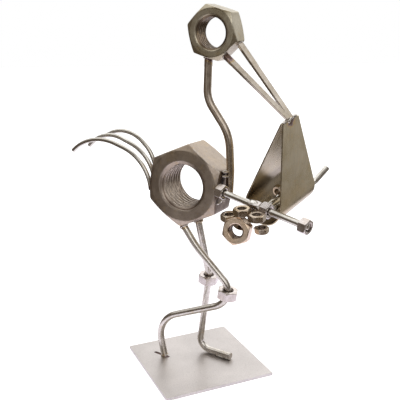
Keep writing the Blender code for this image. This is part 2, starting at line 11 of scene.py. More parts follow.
import bpy
import numpy as np
from bpy.props import FloatProperty, FloatVectorProperty, PointerProperty
from mathutils import Matrix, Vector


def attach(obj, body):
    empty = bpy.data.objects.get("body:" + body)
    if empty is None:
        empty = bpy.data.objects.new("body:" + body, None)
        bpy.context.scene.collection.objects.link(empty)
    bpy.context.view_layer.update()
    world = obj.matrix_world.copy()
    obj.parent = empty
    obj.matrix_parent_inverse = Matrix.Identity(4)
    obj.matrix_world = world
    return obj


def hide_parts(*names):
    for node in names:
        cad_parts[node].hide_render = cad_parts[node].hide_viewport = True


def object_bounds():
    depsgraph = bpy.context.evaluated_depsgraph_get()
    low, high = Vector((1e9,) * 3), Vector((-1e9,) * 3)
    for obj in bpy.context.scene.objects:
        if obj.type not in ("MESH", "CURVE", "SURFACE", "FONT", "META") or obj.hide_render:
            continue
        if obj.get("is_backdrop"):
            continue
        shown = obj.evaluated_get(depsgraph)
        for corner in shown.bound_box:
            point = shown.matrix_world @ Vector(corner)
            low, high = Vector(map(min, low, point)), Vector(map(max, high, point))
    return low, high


bl_info = {
    "name": "Welded Stork",
    "version": (1, 0, 0),
    "blender": (4, 5, 0),
    "location": "3D View > Sidebar > Stork",
    "description": "A stork with a baby, welded from nuts, rods and sheet steel",
    "category": "Add Mesh",
}

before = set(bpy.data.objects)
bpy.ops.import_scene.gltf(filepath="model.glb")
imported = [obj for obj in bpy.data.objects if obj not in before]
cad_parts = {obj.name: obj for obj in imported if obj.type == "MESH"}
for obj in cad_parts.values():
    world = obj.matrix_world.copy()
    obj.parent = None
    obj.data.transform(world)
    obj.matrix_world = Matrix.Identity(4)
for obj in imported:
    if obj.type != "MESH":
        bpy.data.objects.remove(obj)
CAD_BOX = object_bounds()

Nut = namedtuple("Nut", "flats height thread pitch")
Baby = namedtuple("Baby", "left right shoulder torso face neck curls foot")
Shell = namedtuple("Shell", "points quads triangles wear")

# Places on the plate and on the body nut, as in the solids
PLATE_TURN = 49.6
SLOT_TURN = -11.2
SLOT_BACK = 0.0028
NECK_SIDE = -0.0015
NECK_FOOT = 0.0045
NECK_GAP = 0.0012
NECK_SWAYS = ((-0.0013, 0.365), (-0.0010, 0.325))
NECK_BENDS = (0.0192, 0.0306, 0.060)
RIGHT_HIP_SIDE = -0.0080
RIGHT_FOOT = (-0.0247, -0.0060)
RIGHT_BENDS = (
    (0.0042, 0.871, 0.060),
    (0.0306, 0.608, 0.0109),
    (0.0236, 0.486, 0.0172),
    (-0.0290, 0.288, 0.0215),
)
RIGHT_KNEE = 0.574
RIGHT_KNEE_ROLL = 18.0
LEFT_HIP_SIDE = 0.0060
LEFT_HIP_FORWARD = 0.0061
LEFT_KNEE_AT = (0.0053, 0.0090)
LEFT_KNEE = 0.600
LEFT_NUT_DROP = 0.0025
LEFT_KNEE_ROLL = 8.0
LEFT_HEEL = (-0.0053, 0.0130)
LEFT_TOE = (0.0222, 0.0092)
KNEE_BEND = 0.0262
HEEL_BEND = 0.0078

# Tail wires: side offset, then tip, crest and shoulder from the body nut's middle, with the bends' radii
TAIL_WIRES = {
    "tail_wire_right": (-0.0080, (-0.0919, 0.0168), (-0.0754, 0.0318), (-0.0293, 0.0151), 0.0358, 0.0318),
    "tail_wire_middle": (0.0000, (-0.0832, 0.0198), (-0.0685, 0.0325), (-0.0335, 0.0180), 0.0240, 0.0297),
    "tail_wire_left": (0.0080, (-0.0800, 0.0235), (-0.0545, 0.0358), (-0.0365, 0.0180), 0.0241, 0.0253),
}
TAIL_FOOT = 0.17

# The beak's ends on the head nut and the baby in the sling, as in the solids
BEAK_LOWER = (0.30, -0.0040, -1)
BEAK_UPPER = (0.86, 0.0020, 1)
BEAK_INTO = 0.0012
TORSO_PLACE = (0.0055, -0.0357, 0.0047)
LEFT_HAND_PLACE = (0.0036, 0.0016)
LEFT_HAND_RISE = 0.0083
RIGHT_HAND_PLACE = (0.0353, -0.0110, -0.0017)
ELBOW_AT = 0.42
SHOULDER_AT = 0.560
FACE_PLACE = (-0.0085, -0.0096, -0.0103)
FACE_AXIS = (-0.085, 0.966, -0.095)
FACE_ROLL = 10.0
CURL_TIP = 7.0
CURL_PLACES = (
    (-0.0069, 0.0031, 0.0070),
    (0.0028, 0.0004, 0.0125),
    (0.0130, -0.0004, 0.0101),
)
LAST_CURL_PLACE = (0.0154, 0.0021, 0.0015)
NECK_NUT_PLACE = (-0.0014, 0.0099, 0.0012)
NECK_NUT_AXIS = (0.30, -0.12, 0.94)
THIGH_START = (0.0043, 0.0028)
FOOT_PLACE = (0.0074, -0.0127, 0.0091)
SHANK_START = (0.0040, -0.0021)
SHANK_ANGLE = -10.5
SHANK_OUT = 0.0260
SHANK_END = (0.0049, 0.0117, 0.0076)
SHANK_BEND = 0.006

# A coarse thread's depth and its countersink, as shares of pitch and diameter, and a nut's chamfer
THREAD_DEPTH = 0.5413
COUNTERSINK = 1.045
CHAMFER_CIRCLE = 0.95
CHAMFER_SLOPE = math.tan(math.radians(30.0))

# How far a nut's edges and corners are rounded, as shares of its flats
EDGE_ROUND = 0.012
CORNER_ROUND = 0.045

# A rod's rounded rim and a square bar's rounded corners, as shares of the diameter and of the half width
ROD_EDGE = 0.05
BAR_ROUND = 0.13

# How worn the rounded edges of a nut are: inside the bore's mouth, at the chamfer circle and at the flats
EDGE_WEAR = (0.55, 0.12, 1.0)

# The rounded ends of bars and edges of sheets, and the power that flattens the slot's outline
BAR_EDGE = 0.0003
SHEET_EDGE = 0.0002
SLOT_POWER = 0.25

# How far from a weld its heat reached: at the hips, the near foot, the tail wires, the baby's hand, the
# neck and its foot, the beak's two roots on the head nut, the root and tip of its bars, the sling's seam
HIP_HEAT = 0.006
FOOT_HEAT = 0.004
TAIL_HEAT = 0.006
HAND_HEAT = 0.006
NECK_HEAT = 0.007
NECK_FOOT_HEAT = 0.009
BEAK_HEATS = (0.0035, 0.0030)
BEAK_HEAT = 0.010
BEAK_TIP_HEAT = 0.004
SEAM_HEAT = 0.007

# Where straw, violet and scorch begin and are full, as shares of a weld's heat, and how strong each is
STRAW_HEAT = (0.10, 0.35, 0.75)
VIOLET_HEAT = (0.35, 0.55, 0.75)
SCORCH_HEAT = (0.50, 0.75, 0.90)

# The room's own tone, and its soft lights: direction, inner and outer angle from it, and strength
ROOM_TONE = (0.150, 0.125, 0.103)
LIGHT_TONE = (0.98, 1.0, 1.03)
LIGHTS = (
    ((-0.43, 0.86, 0.28), 18, 42, 0.75),
    ((-0.05, 0.60, 0.80), 22, 52, 1.48),
    ((-0.38, -0.02, 0.92), 28, 48, 1.10),
    ((0.15, 0.95, 0.25), 6, 16, 0.90),
    ((0.50, 0.85, 0.02), 10, 30, 0.75),
    ((0.745, 0.57, -0.34), 12, 28, 0.24),
    ((0.66, -0.54, 0.55), 14, 38, 1.00),
    ((0.50, -0.79, 0.36), 8, 17, 1.80),
    ((-0.22, -0.97, -0.02), 6, 15, 0.60),
)

# The floor's half width and glow, and the lit paper on it: its turn, its left and right edge, and how far
# it runs before and behind
FLOOR = 3.0
FLOOR_GLOW = 0.6
PAPER_TURN = 26.3
PAPER_ACROSS = (-0.155, 0.240)
PAPER_ALONG = (-0.22, 1.00)
PAPER_TONE = (1.0, 0.97, 1.26)
PAPER_GLOW = 0.58

# Where the camera stands, its turn about the vertical, how far it looks down, and its roll
CAMERA_PLACE = (0.19639, -0.39068, 0.24451)
CAMERA_TURN = 26.315
CAMERA_DIP = 15.504
CAMERA_ROLL = -0.694

# Grain to the metre along each axis, even or brushed one way, and how deep grain and pits go
GRAIN = (700.0, 700.0, 700.0)
BRUSHED = (1500.0, 1500.0, 60.0)
PRESSED = 0.00001

# Pits, and patches of worn edge, of heat and of the painted shade on the body nut's front flat, to the
# metre
PITS = 1100.0
WORN_PATCHES = 260.0
HEAT_PATCHES = 320.0
SHADE_PATCHES = 150.0

# How dark the sling's inside is painted as shade, and the share of the way down where that starts and how
# it fades
SLING_SHADE = 0.52
SHADE_FROM = 0.50
SHADE_FADE = 0.14

# The width of a common bead of weld, how lumpy a blob and a bead are, the waves that make the lumps and
# how close they lie, and the lengths of some beads
WELD = 0.0018
LUMPS = 0.16
BEAD_LUMPS = 0.112
LUMP_WAVES = 6
LUMP_CLOSENESS = 2.6
TOE_WELD = 0.012
TAIL_WELD = 0.009
SEAM_WELD_RISE = 0.0004

# A bead's least size and what each scale adds to it, the gap between scales as a share of its thickness,
# and how far a bead runs round a rod
BEAD_LEAST = 0.86
BEAD_SCALE = 0.20
SCALE_GAP = 0.75
RING_SWEEP = 350.0

# How finely the surfaces are divided
ARC_STEP = 3.0
NUT_COLUMNS = 180
CORNER_COLUMNS = 9
THREAD_ROWS = 12
ROD_COLUMNS = 40
BAR_ROWS = 40
PLATE_COLUMNS = 120
SLING_ROWS = 24
ROLL_ROWS = 80
BLOB_ROWS = 20
BLOB_COLUMNS = 28
BEAD_ROWS = 7
BEAD_COLUMNS = 18
RING_ROWS = 48
STRAIGHT_ROWS = 12
ROUNDING = np.linspace(0, 1, 5)

# How far beside a rounded corner the next point lies, in edge lengths, and the angle that shows as an edge
BESIDE = 1.8
SHARP_ANGLE = 50.0

# The gap between two pieces that touch
AIR = 0.0003


def length(name, default, description):
    """A size in metres."""
    return FloatProperty(name=name, description=description, default=default, min=0.0, unit="LENGTH")


def angle(name, degrees, description):
    """An angle, given here in degrees."""
    return FloatProperty(name=name, description=description, default=math.radians(degrees), subtype="ANGLE")


def nut_sizes(name, flats, height, thread, pitch):
    """A nut's four sizes in metres."""
    return FloatVectorProperty(
        name=name,
        description="Across flats, height, thread diameter and thread pitch",
        default=(flats, height, thread, pitch),
        size=4,
        min=0.0,
        unit="LENGTH",
    )


def colour(name, default, description):
    """A metal's colour."""
    return FloatVectorProperty(
        name=name, description=description, default=default, min=0.0, max=1.0, subtype="COLOR"
    )


class StorkPlate(bpy.types.PropertyGroup):
    """The plate's sizes."""

    side: length("Side", 0.080, "Length of the square plate's side")
    thickness: length("Thickness", 0.002, "Thickness of the plate")
    slot_length: length("Slot length", 0.0140, "Length of the slot at the near foot")
    slot_width: length("Slot width", 0.0022, "Width of the slot at the near foot")


class StorkNuts(bpy.types.PropertyGroup):
    """The nuts' sizes and the places of the two big ones."""

    body: nut_sizes("Body nut", 0.0500, 0.0283, 0.0330, 0.0035)
    head: nut_sizes("Head nut", 0.0313, 0.0152, 0.0220, 0.0025)
    knee: nut_sizes("Knee nuts", 0.0130, 0.0065, 0.0080, 0.00125)
    face: nut_sizes("Face nut", 0.0167, 0.0080, 0.0100, 0.0015)
    torso: nut_sizes("Torso nut", 0.0130, 0.0060, 0.0080, 0.00125)
    curl: nut_sizes("Curl nuts", 0.0100, 0.0044, 0.0063, 0.0010)
    last_curl: nut_sizes("Last curl nut", 0.0080, 0.0036, 0.0052, 0.0008)
    hand: nut_sizes("Hand and shoulder nuts", 0.0090, 0.0056, 0.0063, 0.0010)
    foot: nut_sizes("Foot nut", 0.0072, 0.0036, 0.0042, 0.0007)
    body_rise: length("Body height", 0.1332, "Height of the body nut's middle over the plate")
    body_back: length("Body set back", 0.0031, "How far the body nut's middle lies behind the plate's")
    body_roll: angle("Body roll", -6.9, "Turn of the body nut about its bore")
    body_tip: angle("Body tip", -2.44, "How far the body nut's far end is raised")
    head_rise: length("Head height", 0.0997, "Height of the head nut's middle over the body nut's")
    head_forward: length("Head forward", 0.0189, "How far the head nut lies before the body nut")
    head_roll: angle("Head roll", 13.3, "Turn of the head nut about its bore")


class StorkRods(bpy.types.PropertyGroup):
    """The diameters of the rods and the widths of the beak's bars."""

    neck: length("Neck", 0.0053, "Diameter of the neck rod")
    leg: length("Legs", 0.0049, "Diameter of the leg rods")
    tail: length("Tail", 0.0030, "Diameter of the tail wires")
    arm: length("Arms", 0.0044, "Diameter of the baby's arms")
    thigh: length("Short leg", 0.0032, "Diameter of the baby's short leg")
    shank: length("Long leg", 0.0040, "Diameter of the baby's long leg")
    beak_root: length("Beak root", 0.0034, "Width of the beak's bars at the head")
    beak_tip: length("Beak tip", 0.0028, "Width of the beak's bars at the sling")


class StorkSling(bpy.types.PropertyGroup):
    """The sling's sizes and how it hangs."""

    forward: length("Forward", 0.0690, "How far the seam lies before the body nut's middle")
    rise: length("Rise", 0.0471, "Height of the seam over the body nut's middle")
    drop: length("Drop", 0.0548, "From the seam to the middle of the rolled bottom")
    roll: length("Roll", 0.0132, "Radius of the rolled bottom")
    top_width: length("Top width", 0.0174, "Width of the sheet at the seam")
    low_width: length("Bottom width", 0.0450, "Width of the sheet at the bottom")
    flare: FloatProperty(
        name="Flare", description="Share of the way down where the full width is reached", default=0.80
    )
    sheet: length("Sheet", 0.0010, "Thickness of the sheet")
    swing: angle("Swing", -11.1, "How far the loop hangs out of plumb")
    turn: angle("Turn", 15.0, "Turn of the sling about the vertical")
    tip: angle("Tip", 14.0, "How far the sling's far side is raised")


class StorkFinishes(bpy.types.PropertyGroup):
    """The colours of the metals."""

    body_low: colour("Body nut, dark", (0.325, 0.265, 0.215), "The body nut where it is darkest")
    body_high: colour("Body nut, light", (0.50, 0.425, 0.35), "The body nut where it is lightest")
    head_low: colour("Head nut, dark", (0.375, 0.32, 0.215), "The head nut where it is darkest")
    head_high: colour("Head nut, light", (0.60, 0.55, 0.43), "The head nut where it is lightest")
    rod_low: colour("Rods, dark", (0.56, 0.53, 0.47), "The rods where they are darkest")
    rod_high: colour("Rods, light", (0.74, 0.72, 0.67), "The rods where they are lightest")
    leg_low: colour("Legs, dark", (0.54, 0.50, 0.44), "The legs where they are darkest")
    leg_high: colour("Legs, light", (0.72, 0.68, 0.62), "The legs where they are lightest")
    beak_low: colour("Beak, dark", (0.43, 0.375, 0.30), "The beak's bars where they are darkest")
    beak_high: colour("Beak, light", (0.61, 0.55, 0.47), "The beak's bars where they are lightest")
    neck_low: colour("Neck, dark", (0.38, 0.31, 0.24), "The neck where it is darkest")
    neck_high: colour("Neck, light", (0.60, 0.52, 0.43), "The neck where it is lightest")
    zinc_low: colour("Small nuts, dark", (0.52, 0.46, 0.42), "The small nuts where they are darkest")
    zinc_high: colour("Small nuts, light", (0.72, 0.67, 0.64), "The small nuts where they are lightest")
    plate_low: colour("Plate, dark", (0.525, 0.490, 0.465), "The plate where it is darkest")
    plate_high: colour("Plate, light", (0.645, 0.605, 0.575), "The plate where it is lightest")
    sling_low: colour("Sling, dark", (0.41, 0.34, 0.215), "The sling where it is darkest")
    sling_high: colour("Sling, light", (0.53, 0.465, 0.345), "The sling where it is lightest")
    weld_low: colour("Welds, dark", (0.34, 0.30, 0.26), "The beads of weld where they are darkest")
    weld_high: colour("Welds, light", (0.84, 0.81, 0.76), "The beads of weld where they are lightest")
    curl_low: colour("Curl nuts, dark", (0.36, 0.27, 0.18), "The curls where they are darkest")
    curl_high: colour("Curl nuts, light", (0.60, 0.52, 0.42), "The curls where they are lightest")
    face_low: colour("Face nut, dark", (0.62, 0.46, 0.32), "The baby's face where it is darkest")
    face_high: colour("Face nut, light", (0.78, 0.64, 0.50), "The baby's face where it is lightest")
    straw: colour("Straw tint", (0.52, 0.37, 0.17), "Steel that got hot")
    violet: colour("Violet tint", (0.26, 0.19, 0.24), "Steel that got hotter")
    # Also the colour of the painted shade in grooves, bores, the slot, the sling's inside and on the body
    # nut's front flat
    scorch_and_shade: colour("Scorch", (0.10, 0.060, 0.040), "Steel beside a weld")


class StorkStage(bpy.types.PropertyGroup):
    """The camera's lens."""

    lens: FloatProperty(name="Lens", description="Focal length", default=59.454, unit="CAMERA")


class StorkSettings(bpy.types.PropertyGroup):
    """Everything that the panel shows."""

    plate: PointerProperty(type=StorkPlate)
    nuts: PointerProperty(type=StorkNuts)
    rods: PointerProperty(type=StorkRods)
    sling: PointerProperty(type=StorkSling)
    finishes: PointerProperty(type=StorkFinishes)
    stage: PointerProperty(type=StorkStage)


def unit(vectors):
    """Each vector divided by its length."""
    vectors = np.asarray(vectors, float)
    return vectors / np.linalg.norm(vectors, axis=-1, keepdims=True)


def side(degrees, reach=1.0):
    """A vector in the XZ plane: its length times the angle's cosine forward and sine up."""
    turn = math.radians(degrees)
    return np.array((reach * math.cos(turn), 0.0, reach * math.sin(turn)))


def tipped(degrees):
    """A turn about the X axis, which raises what lies along +Y."""
    return np.array(Matrix.Rotation(math.radians(degrees), 3, "X"))


def side_frame(roll, tip=0.0):
    """A nut's axes as columns: a flat turned from +X by roll, the one square to it, and the bore."""
    out = side(roll)
    across = np.array((0.0, 1.0, 0.0))
    return tipped(tip) @ np.stack((out, np.cross(across, out), across), axis=1)


def axis_frame(axis, roll, out=(1.0, 0.0, 0.0)):
    """Axes as columns: the out direction made square to the axis and turned by roll, its side, the axis."""
    along = unit(axis)
    first = unit(np.array(out) - along * (along @ np.array(out)))
    turn = np.array(Matrix.Rotation(math.radians(roll), 3, "Z"))
    return np.stack((first, np.cross(along, first), along), axis=1) @ turn


def bent(corners, radii):
    """The points of a rod that runs straight between corners and turns at each on an arc.

    A point of the arc is the arc's middle, plus the spoke to its start times the cosine of the angle
    swept, minus the way back along the rod times the radius and the sine.
    """
    parts = [[corners[0]]]
    for before, corner, after, radius in zip(corners, corners[1:], corners[2:], radii):
        back, ahead = unit(before - corner), unit(after - corner)
        turn = math.pi - math.acos(float(np.clip(back @ ahead, -1, 1)))
        middle = corner + unit(back + ahead) * radius / math.cos(turn / 2)
        start = corner + back * radius * math.tan(turn / 2)
        swept = np.linspace(0, turn, max(2, round(math.degrees(turn) / ARC_STEP)) + 1)[:, None]
        parts.append(middle + (start - middle) * np.cos(swept) - back * radius * np.sin(swept))
    parts.append([corners[-1]])
    return np.concatenate(parts)


def run_along(points):
    """The length run to each point of a line."""
    steps = np.linalg.norm(np.diff(points, axis=0), axis=1)
    return np.concatenate(([0.0], np.cumsum(steps)))


def point_at(points, distance):
    """The point of a line at a length run along it."""
    run = run_along(points)
    return np.array([np.interp(distance, run, points[:, axis]) for axis in range(3)])


def beyond(end, inner, reach):
    """The point past an end, in line with the point before it."""
    return end + unit(end - inner) * reach


def grid_quads(rows, columns, wrap_rows=False):
    """The quads between neighbouring points of a grid whose columns close on themselves."""
    row, column = np.meshgrid(np.arange(rows if wrap_rows else rows - 1), np.arange(columns), indexing="ij")
    here, below = row * columns, (row + 1) % rows * columns
    right = (column + 1) % columns
    return np.stack((here + column, here + right, below + right, below + column), axis=-1).reshape(-1, 4)


def shell(grid, wrap_rows=False, wear=None):
    """A closed surface from a grid of points whose columns close on themselves.

    The rows either close too, as on a ring, or each end is closed by triangles to the middle of its row.
    If six times the volume, the sum of each triangle's triple product, is negative, the faces are turned.
    """
    rows, columns = grid.shape[:2]
    points = grid.reshape(-1, 3)
    quads = grid_quads(rows, columns, wrap_rows)
    triangles = np.empty((0, 3), int)
    marks = np.zeros(len(points)) if wear is None else np.broadcast_to(wear, (rows, columns)).ravel()
    if not wrap_rows:
        ring = np.arange(columns)
        ahead = (ring + 1) % columns
        last = (rows - 1) * columns
        first_pole, last_pole = len(points), len(points) + 1
        first_fan = np.stack((np.full(columns, first_pole), ahead, ring), axis=-1)
        last_fan = np.stack((np.full(columns, last_pole), last + ring, last + ahead), axis=-1)
        triangles = np.concatenate((first_fan, last_fan))
        points = np.concatenate((points, [grid[0].mean(axis=0)], [grid[-1].mean(axis=0)]))
        marks = np.concatenate((marks, [0.0, 0.0]))
    flat = np.concatenate((quads[:, (0, 1, 2)], quads[:, (0, 2, 3)], triangles))
    centred = points - points.mean(axis=0)
    a, b, c = centred[flat[:, 0]], centred[flat[:, 1]], centred[flat[:, 2]]
    if np.einsum("ij,ij->", a, np.cross(b, c)) < 0:
        quads, triangles = quads[:, ::-1], triangles[:, ::-1]
    return Shell(points, quads, triangles, marks)


def rounded(corners, edge):
    """Rows of points that follow a section's corners, each rounded off.

    corners holds the section's corners along its first axis, with a neighbour before the first and after
    the last. Each corner becomes a parabola from one edge length before it to one after it: the start
    times (1 - t) squared, the corner times 2t(1 - t) and the end times t squared. A point farther out on
    each side keeps the flats beside it flat. The wear of each row is returned too: 1 on the rounding.
    """
    before, here, after = corners[:-2], corners[1:-1], corners[2:]
    back, ahead = unit(before - here), unit(after - here)
    t = ROUNDING.reshape((-1,) + (1,) * here.ndim)
    curve = (1 - t) ** 2 * (here + back * edge) + 2 * t * (1 - t) * here + t**2 * (here + ahead * edge)
    rows = np.concatenate(([here + back * edge * BESIDE], curve, [here + ahead * edge * BESIDE]))
    wear = np.concatenate(([0.0], np.sin(ROUNDING * math.pi) ** 0.5, [0.0]))
    return np.moveaxis(rows, 0, 1).reshape((-1,) + here.shape[1:]), np.tile(wear, len(here))


def outline(nut, corner):
    """The angles of a nut's columns and its outline's radius at each.

    Away from the corners the radius is half the flats over the cosine of the angle to the flat's middle.
    Each corner is an arc: the distance to the arc's middle times the cosine of the angle from the corner,
    plus the root of the arc's radius squared less that distance times the sine, squared.
    """
    middle = (nut.flats / 2 - corner) / math.cos(math.pi / 6)
    limit = math.atan2(corner / 2, middle + corner * math.cos(math.pi / 6))
    turns = np.linspace(0, math.tau, NUT_COLUMNS, endpoint=False)
    off = np.abs(turns % (math.pi / 3) - math.pi / 6)
    spots = np.radians(np.arange(30, 390, 60))[:, None] + limit * np.linspace(-1.5, 1.5, CORNER_COLUMNS)
    turns = np.sort(np.concatenate((turns[off > limit * 1.8], spots.ravel())))
    off = np.abs(turns % (math.pi / 3) - math.pi / 6)
    arc = middle * np.cos(off) + np.sqrt(np.maximum(corner**2 - (middle * np.sin(off)) ** 2, 0))
    flat = nut.flats / 2 / np.cos(math.pi / 6 - off)
    return turns, np.where(off < limit, arc, flat)


def nut_shell(nut, centre, axes, bore=None, painted_shade=0.6):
    """A chamfered hexagon nut with a threaded and countersunk bore, or a plain one of a given diameter.

    The section runs from the countersink's mouth over the face, down the chamfer, whose height falls by
    the slope times the radius past the chamfer circle, along the flat and back. The bore's radius is the
    larger of the countersink's cone and the thread, whose crest grows by its depth times the upper part
    of a triangle wave of the height over the pitch less the angle over a full turn. The wear is 1 on a
    worn edge, -1 in a groove and minus the given shade on the rest of the bore: both are painted shade,
    which darkens the grooves and the bore.
    """
    edge = nut.flats * EDGE_ROUND
    turns, reach = outline(nut, nut.flats * CORNER_ROUND)
    crest = bore / 2 if bore else nut.thread / 2 - THREAD_DEPTH * nut.pitch
    half = nut.height / 2
    mouth = max(COUNTERSINK * nut.thread / 2, crest + 2 * AIR)
    circle = CHAMFER_CIRCLE * nut.flats / 2
    full = np.ones_like(reach)
    drop = (reach - circle) * CHAMFER_SLOPE
    lead = 3 * edge
    heights = np.array((half - lead * CHAMFER_SLOPE, half, half))[:, None] * full
    radii = np.array((mouth - lead, mouth, circle))[:, None] * full
    heights = np.concatenate((heights, [half - drop]))
    radii = np.concatenate((radii, [reach]))
    radii = np.concatenate((radii, radii[::-1]))
    heights = np.concatenate((heights, -heights[::-1]))
    outside, wear = rounded(np.stack((radii, heights), axis=-1), edge)
    count = max(8, round(nut.height / nut.pitch * THREAD_ROWS))
    low = half - 2.2 * edge * CHAMFER_SLOPE
    rise = np.linspace(-low, low, count)[:, None]
    wave = np.abs(2 * ((rise / nut.pitch - turns / math.tau) % 1.0) - 1)
    depth = 0.0 if bore else THREAD_DEPTH * nut.pitch
    groove = np.clip(1.5 * wave - 0.5, 0, 1)
    cone = mouth - (half - np.abs(rise)) / CHAMFER_SLOPE
    inside = np.stack((np.maximum(crest + depth * groove, cone * full), rise * full), axis=-1)
    rows = np.concatenate((outside, inside))
    local = np.stack((rows[..., 0] * np.cos(turns), rows[..., 0] * np.sin(turns), rows[..., 1]), axis=-1)
    keen = np.repeat(EDGE_WEAR + EDGE_WEAR[::-1], len(wear) // 6)
    # Painted shade: thread grooves and the bore get a negative wear, which darkens them
    wear = np.concatenate(((wear * keen)[:, None] * full, -np.maximum(groove * (depth > 0), painted_shade)))
    return shell(centre + local @ axes.T, wrap_rows=True, wear=wear)


def circle_section():
    """The points of a unit circle."""
    turn = np.linspace(0, math.tau, ROD_COLUMNS, endpoint=False)
    return np.stack((np.cos(turn), np.sin(turn)), axis=-1)


def square_section():
    """The points of a square of half width 1 that stands on a rounded corner."""
    corners = np.array(((1, 0), (0, 1), (-1, 0), (0, -1)), float) * math.sqrt(2)
    ring = np.concatenate((corners[-1:], corners, corners[:1]))
    return rounded(ring, BAR_ROUND)[0]


def swept(path, half, up, section, edge):
    """A section carried along a path, its rim at each end rounded off and closed.

    At each point the section is scaled by half and laid on two directions square to the path: up less its
    share along the path, and that one's cross product with the path. At an end the scale falls by the edge
    times one less the cosine of an angle while the point moves on by the edge times its sine.
    """
    half = np.broadcast_to(half, len(path)).astype(float)
    steps = unit(np.diff(path, axis=0))
    ahead = unit(np.concatenate((steps[:1], steps[:-1] + steps[1:], steps[-1:])))
    bow = np.linspace(0, math.pi / 2, 5)
    move = np.concatenate(([-2.0], np.sin(bow) - 1, [0.0])) * edge
    less = np.concatenate(([0.0], 1 - np.cos(bow), [1.6])) * edge
    starts, ends = path[0] - ahead[0] * move[::-1, None], path[-1] + ahead[-1] * move[:, None]
    centres = np.concatenate((starts, path[1:-1], ends))
    scales = np.concatenate((half[0] - less[::-1], half[1:-1], half[-1] - less))
    rims = len(move)
    ahead = np.concatenate((np.repeat(ahead[:1], rims, 0), ahead[1:-1], np.repeat(ahead[-1:], rims, 0)))
    up = np.array(up, float)
    first = unit(up - ahead * (ahead @ up)[:, None])
    second = np.cross(ahead, first)
    spokes = section[None, :, 0, None] * first[:, None] + section[None, :, 1, None] * second[:, None]
    return shell(centres[:, None] + spokes * scales[:, None, None])


def rod_shell(path, diameter, up=(0.0, 1.0, 0.0)):
    """A round rod along a path."""
    return swept(path, diameter / 2, up, circle_section(), diameter * ROD_EDGE)


def lumpy(spokes, depth, seed):
    """How much a weld swells each way from its middle: a few sine waves laid across it at random."""
    rng = np.random.default_rng(seed)
    waves = rng.normal(0, LUMP_CLOSENESS, (LUMP_WAVES, 3))
    phases = rng.uniform(0, math.tau, LUMP_WAVES)
    return 1 + depth * np.sin(spokes @ waves.T + phases).sum(axis=-1, keepdims=True) / 3


def blob_shell(centre, radii, axes, seed):
    """A blob of weld.

    Each direction, the sine of the angle down times the cosine and sine of the turn and the cosine of the
    angle down, is multiplied by its swell and by the blob's three radii.
    """
    down = np.linspace(0, math.pi, BLOB_ROWS)[1:-1, None]
    turn = np.linspace(0, math.tau, BLOB_COLUMNS, endpoint=False)[None, :]
    out, up = np.sin(down), np.cos(down) * np.ones_like(turn)
    spokes = np.stack((out * np.cos(turn), out * np.sin(turn), up), axis=-1)
    return shell(centre + (spokes * lumpy(spokes, LUMPS, seed) * np.array(radii)) @ axes.T)


def bead_shell(path, thick, up, seed):
    """A bead of weld along a path.

    It is a tube. Its radius is half its thickness times the root of one less the sixth power of the
    share of the way from its middle to its end, times a ripple, the size of a sine of the length run, for
    its overlapping scales. It swells in lumps. The up direction must not lie along the path.
    """
    run = run_along(path)
    count = max(2 * BEAD_ROWS, int(run[-1] / thick * BEAD_ROWS))
    at = np.linspace(0, run[-1], count)
    line = np.stack([np.interp(at, run, path[:, axis]) for axis in range(3)], axis=-1)
    ahead = unit(np.gradient(line, axis=0))
    up = np.array(up, float)
    first = unit(up - ahead * (ahead @ up)[:, None])
    second = np.cross(ahead, first)
    turn = np.linspace(0, math.tau, BEAD_COLUMNS, endpoint=False)
    spokes = first[:, None] * np.cos(turn)[:, None] + second[:, None] * np.sin(turn)[:, None]
    far = np.abs(2 * at / run[-1] - 1)
    ripple = BEAD_LEAST + BEAD_SCALE * np.abs(np.sin(at * math.pi / (thick * SCALE_GAP)))
    size = thick / 2 * np.sqrt(np.maximum(1 - far**6, 0.02)) * ripple
    swell = lumpy(spokes + line[:, None] / thick, BEAD_LUMPS, seed)
    return shell(line[:, None] + spokes * size[:, None, None] * swell)


def ring_path(centre, axis, radius):
    """The points of an arc about an axis: its middle plus the radius times the angle's cosine and sine."""
    axes = axis_frame(axis, 0.0, (0.0, -1.0, 0.1))
    turn = np.radians(np.linspace(0, RING_SWEEP, RING_ROWS))[:, None]
    return centre + radius * (np.cos(turn) * axes[:, 0] + np.sin(turn) * axes[:, 1])


def joined(shells):
    """Several shells as one."""
    starts = np.cumsum([0] + [len(one.points) for one in shells[:-1]])
    return Shell(
        np.concatenate([one.points for one in shells]),
        np.concatenate([one.quads + start for one, start in zip(shells, starts)]),
        np.concatenate([one.triangles + start for one, start in zip(shells, starts)]),
        np.concatenate([one.wear for one in shells]),
    )


def show(name, form, material, nodes=()):
    """Put a shell into the scene as a piece that rides on the stork and stands for its solids."""
    mesh = bpy.data.meshes.new(name)
    quads, triangles = form.quads, form.triangles
    corners = np.concatenate((quads.ravel(), triangles.ravel())).astype(np.int32)
    starts = np.concatenate(
        (np.arange(len(quads)) * 4, len(quads) * 4 + np.arange(len(triangles)) * 3)
    ).astype(np.int32)
    mesh.vertices.add(len(form.points))
    mesh.vertices.foreach_set("co", form.points.astype(np.float32).ravel())
    mesh.loops.add(len(corners))
    mesh.loops.foreach_set("vertex_index", corners)
    mesh.polygons.add(len(starts))
    mesh.polygons.foreach_set("loop_start", starts)
    mesh.update(calc_edges=True)
    # The wear attribute holds worn edges and, where negative, painted shade
    wear = mesh.attributes.new("wear", "FLOAT", "POINT")
    wear.data.foreach_set("value", form.wear.astype(np.float32))
    if mesh.validate():
        raise RuntimeError(f"{name} had faces that are not valid")
    mesh.shade_smooth()
    mesh.set_sharp_from_angle(angle=math.radians(SHARP_ANGLE))
    mesh.materials.append(material)
    obj = bpy.data.objects.new(name, mesh)
    bpy.context.scene.collection.objects.link(obj)
    if nodes:
        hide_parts(*nodes)
    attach(obj, "root")


